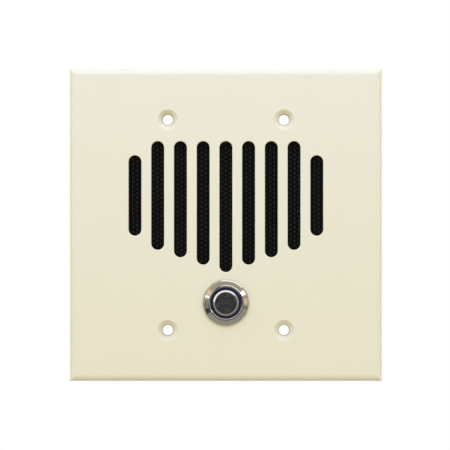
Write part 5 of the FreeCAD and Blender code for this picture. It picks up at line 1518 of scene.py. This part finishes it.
    def solder_joints(self) -> None:
        """A cone of solder round every wire on the side that faces the speaker."""
        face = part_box("circuit_board")[0].y
        shape = bmesh.new()
        profile = [(radius * MM, depth * MM) for radius, depth in self.fillet]
        for x, z in self.joint_places():
            place = Vector((x * MM, face, z * MM))
            joint = spun(profile, place, False, self.fillet_steps)
            mesh = bpy.data.meshes.new("joint")
            joint.to_mesh(mesh)
            joint.free()
            shape.from_mesh(mesh)
            bpy.data.meshes.remove(mesh)
        holes = [edge for edge in shape.edges if edge.is_boundary]
        bmesh.ops.holes_fill(shape, edges=holes, sides=0)
        bmesh.ops.recalc_face_normals(shape, faces=shape.faces[:])
        finished("solder_joints", shape, self.solder, "station")


@dataclass
class CallButton(SubAssembly):
    """The ring-lit push button, from its bezel back to its contacts.

    Attributes:
        bezel_colour, cap_colour, dish_colour, ring_colour: The colours of what shows in front.
        nickel, rubber, housing, plunger, board, resin, brass, steel: The other finishes.
        turns, per_turn: The spring's open turns, and how many steps make a turn.
        wire, wire_sides: How thick its wire is, and the wire's facets.
        closed_pitch: How far its closed turns are apart.
        coil_radius: From its axis to the middle of the wire.
        travel: How far the button goes in; not used.
    """

    bezel_colour: Colour = (0.75, 0.72, 0.68)
    cap_colour: Colour = (0.62, 0.61, 0.6)
    dish_colour: Colour = (0.09, 0.09, 0.096)
    ring_colour: Colour = (0.004, 0.008, 0.062)
    nickel: Metal = Metal("nickel_plated_brass", (0.62, 0.59, 0.53), 0.22, Working.PLATED,
                          0.004 * MM)
    rubber: Moulding = Moulding("seal_rubber", (0.018, 0.018, 0.018), 0.65, 0.2 * MM, 0.004 * MM)
    housing: Moulding = Moulding("black_switch_moulding", (0.025, 0.025, 0.027), 0.48,
                                 0.4 * MM, 0.008 * MM)
    plunger: Moulding = Moulding("natural_nylon", (0.6, 0.58, 0.52), 0.45,
                                 0.5 * MM, 0.004 * MM, 0.06)
    board: Moulding = Moulding("white_lamp_board", (0.75, 0.75, 0.73), 0.35,
                               0.5 * MM, 0.004 * MM, 0.04, 0.5, 0.3)
    resin: Moulding = Moulding("amber_lamp_resin", (0.72, 0.6, 0.2), 0.2,
                               0.3 * MM, 0.002 * MM, 0.1, 0.5, 0.6)
    brass: Metal = Metal("stamped_contact_brass", (0.7, 0.52, 0.22), 0.25, Working.ROLLED,
                         0.004 * MM, (0.4, 0.25, 0.1), 0.3)
    steel: Metal = Metal("drawn_spring_wire", (0.55, 0.55, 0.55), 0.25, Working.PLATED, 0.002 * MM)
    turns: float = 3.4
    per_turn: int = 40
    wire: float = 0.5 * MM
    wire_sides: int = 12
    closed_pitch: float = 0.52 * MM
    coil_radius: float = 4.3 * MM
    travel: float = 1.5 * MM

    def build(self) -> None:
        """Dress the button and wind its spring."""
        centre = tuple(centre_of("button_cap"))
        bezel = TurnedMetal("polished_bezel", self.bezel_colour, 0.1, centre)
        cap = DishedCap("dished_cap", self.cap_colour, 0.16, centre, self.dish_colour)
        ring = TintedRing("tinted_light_ring", self.ring_colour, 0.25, centre)
        self.dress(bezel, "button_barrel")
        self.dress(self.nickel, "button_nut", "button_lock_washer")
        self.dress(self.rubber, "button_seal")
        self.dress(ring, "light_ring")
        self.dress(cap, "button_cap")
        self.dress(self.housing, "switch_housing", "switch_base")
        self.dress(self.plunger, "button_plunger")
        self.dress(self.board, "lamp_board")
        self.dress(self.resin, "ring_lamps")
        self.dress(self.brass, "contact_bridge", "fixed_contacts", "lamp_pins")
        self.wind_spring()

    def wind_spring(self) -> None:
        """A wound spring with a closed turn at each end."""
        low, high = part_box("button_spring")
        centre = centre_of("button_spring")
        shape = bmesh.new()
        bmesh.ops.create_circle(
            shape, cap_ends=False, segments=self.wire_sides, radius=self.wire / 2)
        start = Vector((self.coil_radius, low.y + self.wire / 2 - centre.y, 0.0))
        bmesh.ops.translate(shape, vec=centre + start, verts=shape.verts[:])
        ring = shape.edges[:]
        active = (high.y - low.y - self.wire - 2 * self.closed_pitch) / self.turns
        closed_turn = (1.0, self.closed_pitch)
        for turns, pitch in (closed_turn, (self.turns, active), closed_turn):
            steps = round(self.per_turn * turns)
            wound = bmesh.ops.spin(
                shape, geom=ring, cent=centre, axis=(0.0, 1.0, 0.0),
                dvec=(0.0, pitch * turns / steps, 0.0), angle=2 * math.pi * turns, steps=steps,
                use_merge=False,
            )
            ring = [piece for piece in wound["geom_last"] if isinstance(piece, bmesh.types.BMEdge)]
        ends = [edge for edge in shape.edges if edge.is_boundary]
        bmesh.ops.holes_fill(shape, edges=ends, sides=0)
        bmesh.ops.recalc_face_normals(shape, faces=shape.faces[:])
        spring = finished(
            "wound_spring", shape, self.steel, "station", ["button_spring"], 60.0)
        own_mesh(spring)


# Studio

@dataclass(frozen=True)
class Card:
    """A soft reflector of the studio, as a piece of a ring round the view axis, in degrees.

    Attributes:
        around: Its middle, turned from the right hand side upwards.
        half_around: Half its length round the axis.
        away: Its middle's angle away from the camera.
        half_away: Half its width.
        softness: How far its edges fade.
        colour: Its colour, where 1 is white.
    """

    around: float
    half_around: float
    away: float
    half_away: float
    softness: float
    colour: Colour

    def share(self, around: Signal, away: Signal) -> Signal:
        """How much of a direction the card covers.

        Args:
            around: The direction's turn round the view axis.
            away: Its angle away from the camera.

        Returns:
            One in the middle of the card and nothing outside it.
        """
        turn = abs((around - self.around + 540.0) % 360.0 - 180.0)
        tilt = abs(away - self.away)
        along = turn.rise(self.half_around - self.softness, self.half_around + self.softness)
        across = tilt.rise(self.half_away - self.softness, self.half_away + self.softness)
        return (1 - along) * (1 - across)


@dataclass
class Studio:
    """Camera, lamps, world and floor.

    Attributes:
        lens, sensor: The camera's focal length and the width of its sensor, in millimetres.
        clip: The nearest and the farthest that it sees.
        frame_width, plate_front: The picture's width in the plane at that y.
        aim: The x and z that it looks at.
        ambient, ambient_behind: What lights matt pieces from the front and from behind.
        room_above, room_below: What polished pieces mirror.
        ambient_blend, room_blend, wall_blend: The directions between which these change.
        key_power, key_colour, key_place, key_size: The lamp above and in front of the plate.
        fill_power, fill_place, fill_size: The lamp behind it.
        floor, floor_level, floor_radius: The floor's finish, its z and its radius.
        cards: The reflectors in what polished pieces mirror, each over those before it.
    """

    lens: float = 200.0
    sensor: float = 36.0
    clip: Pair = (0.01, 20.0)
    frame_width: float = 178.1 * MM
    plate_front: float = -3.2 * MM
    aim: Pair = (-0.35 * MM, 0.0)
    ambient: Colour = (1.119, 1.064, 0.845)
    ambient_behind: Colour = (0.783, 0.745, 0.592)
    ambient_blend: Pair = (0.0, 0.45)
    room_above: Colour = (0.42, 0.37, 0.3)
    room_below: Colour = (0.34, 0.335, 0.28)
    room_blend: Pair = (-0.3, 0.3)
    wall_blend: Pair = (-0.1, 0.25)
    key_power: float = 1.277
    key_colour: Colour = (0.201, 0.327, 1.0)
    key_place: Triple = (-0.04, -0.2, 0.28)
    key_size: Pair = (1.0, 0.16)
    fill_power: float = 4.2
    fill_place: Triple = (0.45, 0.8, 0.75)
    fill_size: Pair = (0.6, 0.6)
    floor: PaleFloor = PaleFloor("pale_floor", (0.55, 0.53, 0.47), 0.8)
    floor_level: float = -0.27
    floor_radius: float = 1.0
    cards: tuple[Card, ...] = (
        Card(0.0, 200.0, 0.0, 34.0, 12.0, (0.15, 0.15, 0.16)),
        Card(183.0, 10.0, 62.0, 14.0, 4.0, (0.26, 0.22, 0.15)),
        Card(205.0, 8.0, 62.0, 14.0, 2.5, (0.05, 0.05, 0.045)),
        Card(345.0, 3.0, 62.0, 14.0, 1.5, (0.16, 0.14, 0.1)),
        Card(2.0, 9.0, 62.0, 14.0, 4.0, (0.75, 0.62, 0.42)),
        Card(150.0, 8.0, 62.0, 14.0, 4.0, (0.85, 0.7, 0.5)),
        Card(163.6, 2.8, 62.0, 8.0, 1.2, (2.0, 2.0, 2.0)),
        Card(28.0, 5.8, 62.0, 8.0, 1.5, (2.6, 2.6, 2.6)),
        Card(250.0, 34.0, 17.0, 7.0, 3.0, (2.2, 2.15, 2.05)),
        Card(330.0, 14.0, 17.0, 7.0, 3.0, (1.7, 1.6, 1.4)),
        Card(108.0, 68.0, 44.0, 4.5, 3.0, (1.6, 1.6, 1.65)),
        Card(72.0, 30.0, 82.0, 12.0, 3.0, (1.35, 1.35, 1.35)),
        Card(142.0, 38.0, 70.0, 4.0, 2.0, (1.2, 1.2, 1.2)),
    )

    def build(self) -> None:
        """Set up the whole studio."""
        self.place_camera()
        self.light_world()
        self.place_lamps()
        self.lay_floor()
        bpy.context.scene.view_settings.view_transform = "Standard"

    def place_camera(self) -> None:
        """A long lens straight in front of the plate."""
        data = bpy.data.cameras.new("front_camera")
        data.lens = self.lens
        data.sensor_width = self.sensor
        data.clip_start, data.clip_end = self.clip
        camera = bpy.data.objects.new("front_camera", data)
        bpy.context.scene.collection.objects.link(camera)
        distance = self.frame_width * self.lens / self.sensor
        camera.location = (self.aim[0], self.plate_front - distance, self.aim[1])
        camera.rotation_euler = (math.pi / 2, 0.0, 0.0)
        bpy.context.scene.camera = camera

    def light_world(self) -> None:
        """White to the camera, even light on matt pieces, and a room with cards for mirrors."""
        world = bpy.data.worlds.new("studio")
        world.use_nodes = True
        world.node_tree.nodes.clear()
        maker = NodeMaker(world.node_tree)
        x, y, z = maker.axes(maker.node("ShaderNodeTexCoord", output="Generated"))
        around = maker.math("ARCTAN2", z, x) * math.degrees(1.0)
        away = maker.math("ARCCOSINE", 0 - y) * math.degrees(1.0)
        room = maker.mix(z.rise(*self.room_blend), self.room_below, self.room_above)
        room = maker.mix(y.rise(*self.wall_blend), room, WHITE)
        for card in self.cards:
            room = maker.mix(card.share(around, away), room, card.colour)
        ambient = maker.mix(y.rise(*self.ambient_blend), self.ambient, self.ambient_behind)
        glossy = maker.node("ShaderNodeLightPath", output="Is Glossy Ray")
        scattered = maker.math("MINIMUM", glossy.output("Diffuse Depth"), 1.0)
        light = maker.mix(glossy * (1 - scattered), ambient, room)
        colour = maker.mix(maker.seen(), light, WHITE)
        background = maker.node("ShaderNodeBackground", {}, {"Color": colour, "Strength": 1.0})
        output = maker.tree.nodes.new("ShaderNodeOutputWorld")
        maker.feed(output.inputs["Surface"], background)
        bpy.context.scene.world = world

    def place_lamps(self) -> None:
        """A wide soft box above and in front of the plate, and a softer one behind it."""
        self.place_lamp("key_box", self.key_place, self.key_size, self.key_power, self.key_colour)
        self.place_lamp("rear_box", self.fill_place, self.fill_size, self.fill_power, WHITE)

    def place_lamp(self, name: str, place: Triple, size: Pair, power: float,
                   colour: Colour) -> None:
        """Hang a soft box and turn it to the object.

        Args:
            name: The lamp's name.
            place: Its middle, in metres.
            size: Its width and height, in metres.
            power: Its power in watts.
            colour: Its colour.
        """
        data = bpy.data.lights.new(name, "AREA")
        data.energy = power
        data.color = colour
        data.shape = "RECTANGLE"
        data.size, data.size_y = size
        lamp = bpy.data.objects.new(name, data)
        bpy.context.scene.collection.objects.link(lamp)
        lamp.location = place
        lamp.rotation_euler = (-lamp.location).to_track_quat("-Z", "Y").to_euler()
        lamp.visible_glossy = False

    def lay_floor(self) -> None:
        """A round pale floor well below the plate."""
        shape = bmesh.new()
        bmesh.ops.create_circle(shape, cap_ends=True, segments=96, radius=self.floor_radius)
        bmesh.ops.translate(shape, vec=(0, 0, self.floor_level), verts=shape.verts[:])
        mesh = bpy.data.meshes.new("studio_floor")
        shape.to_mesh(mesh)
        shape.free()
        floor = bpy.data.objects.new("studio_floor", mesh)
        bpy.context.scene.collection.objects.link(floor)
        floor.visible_glossy = False
        mesh.materials.append(self.floor.material())


def main() -> None:
    """Load the frame, set up the studio and build every group."""
    logging.basicConfig(level=logging.INFO, format="%(name)s: %(message)s")
    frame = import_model()
    nodes = frame["nodes"]
    Studio().build()
    for group in (FacePlate, Grille, Baffle, Speaker, Microphone, Board, CallButton):
        group(nodes).build()


if __name__ == "__main__":
    main()
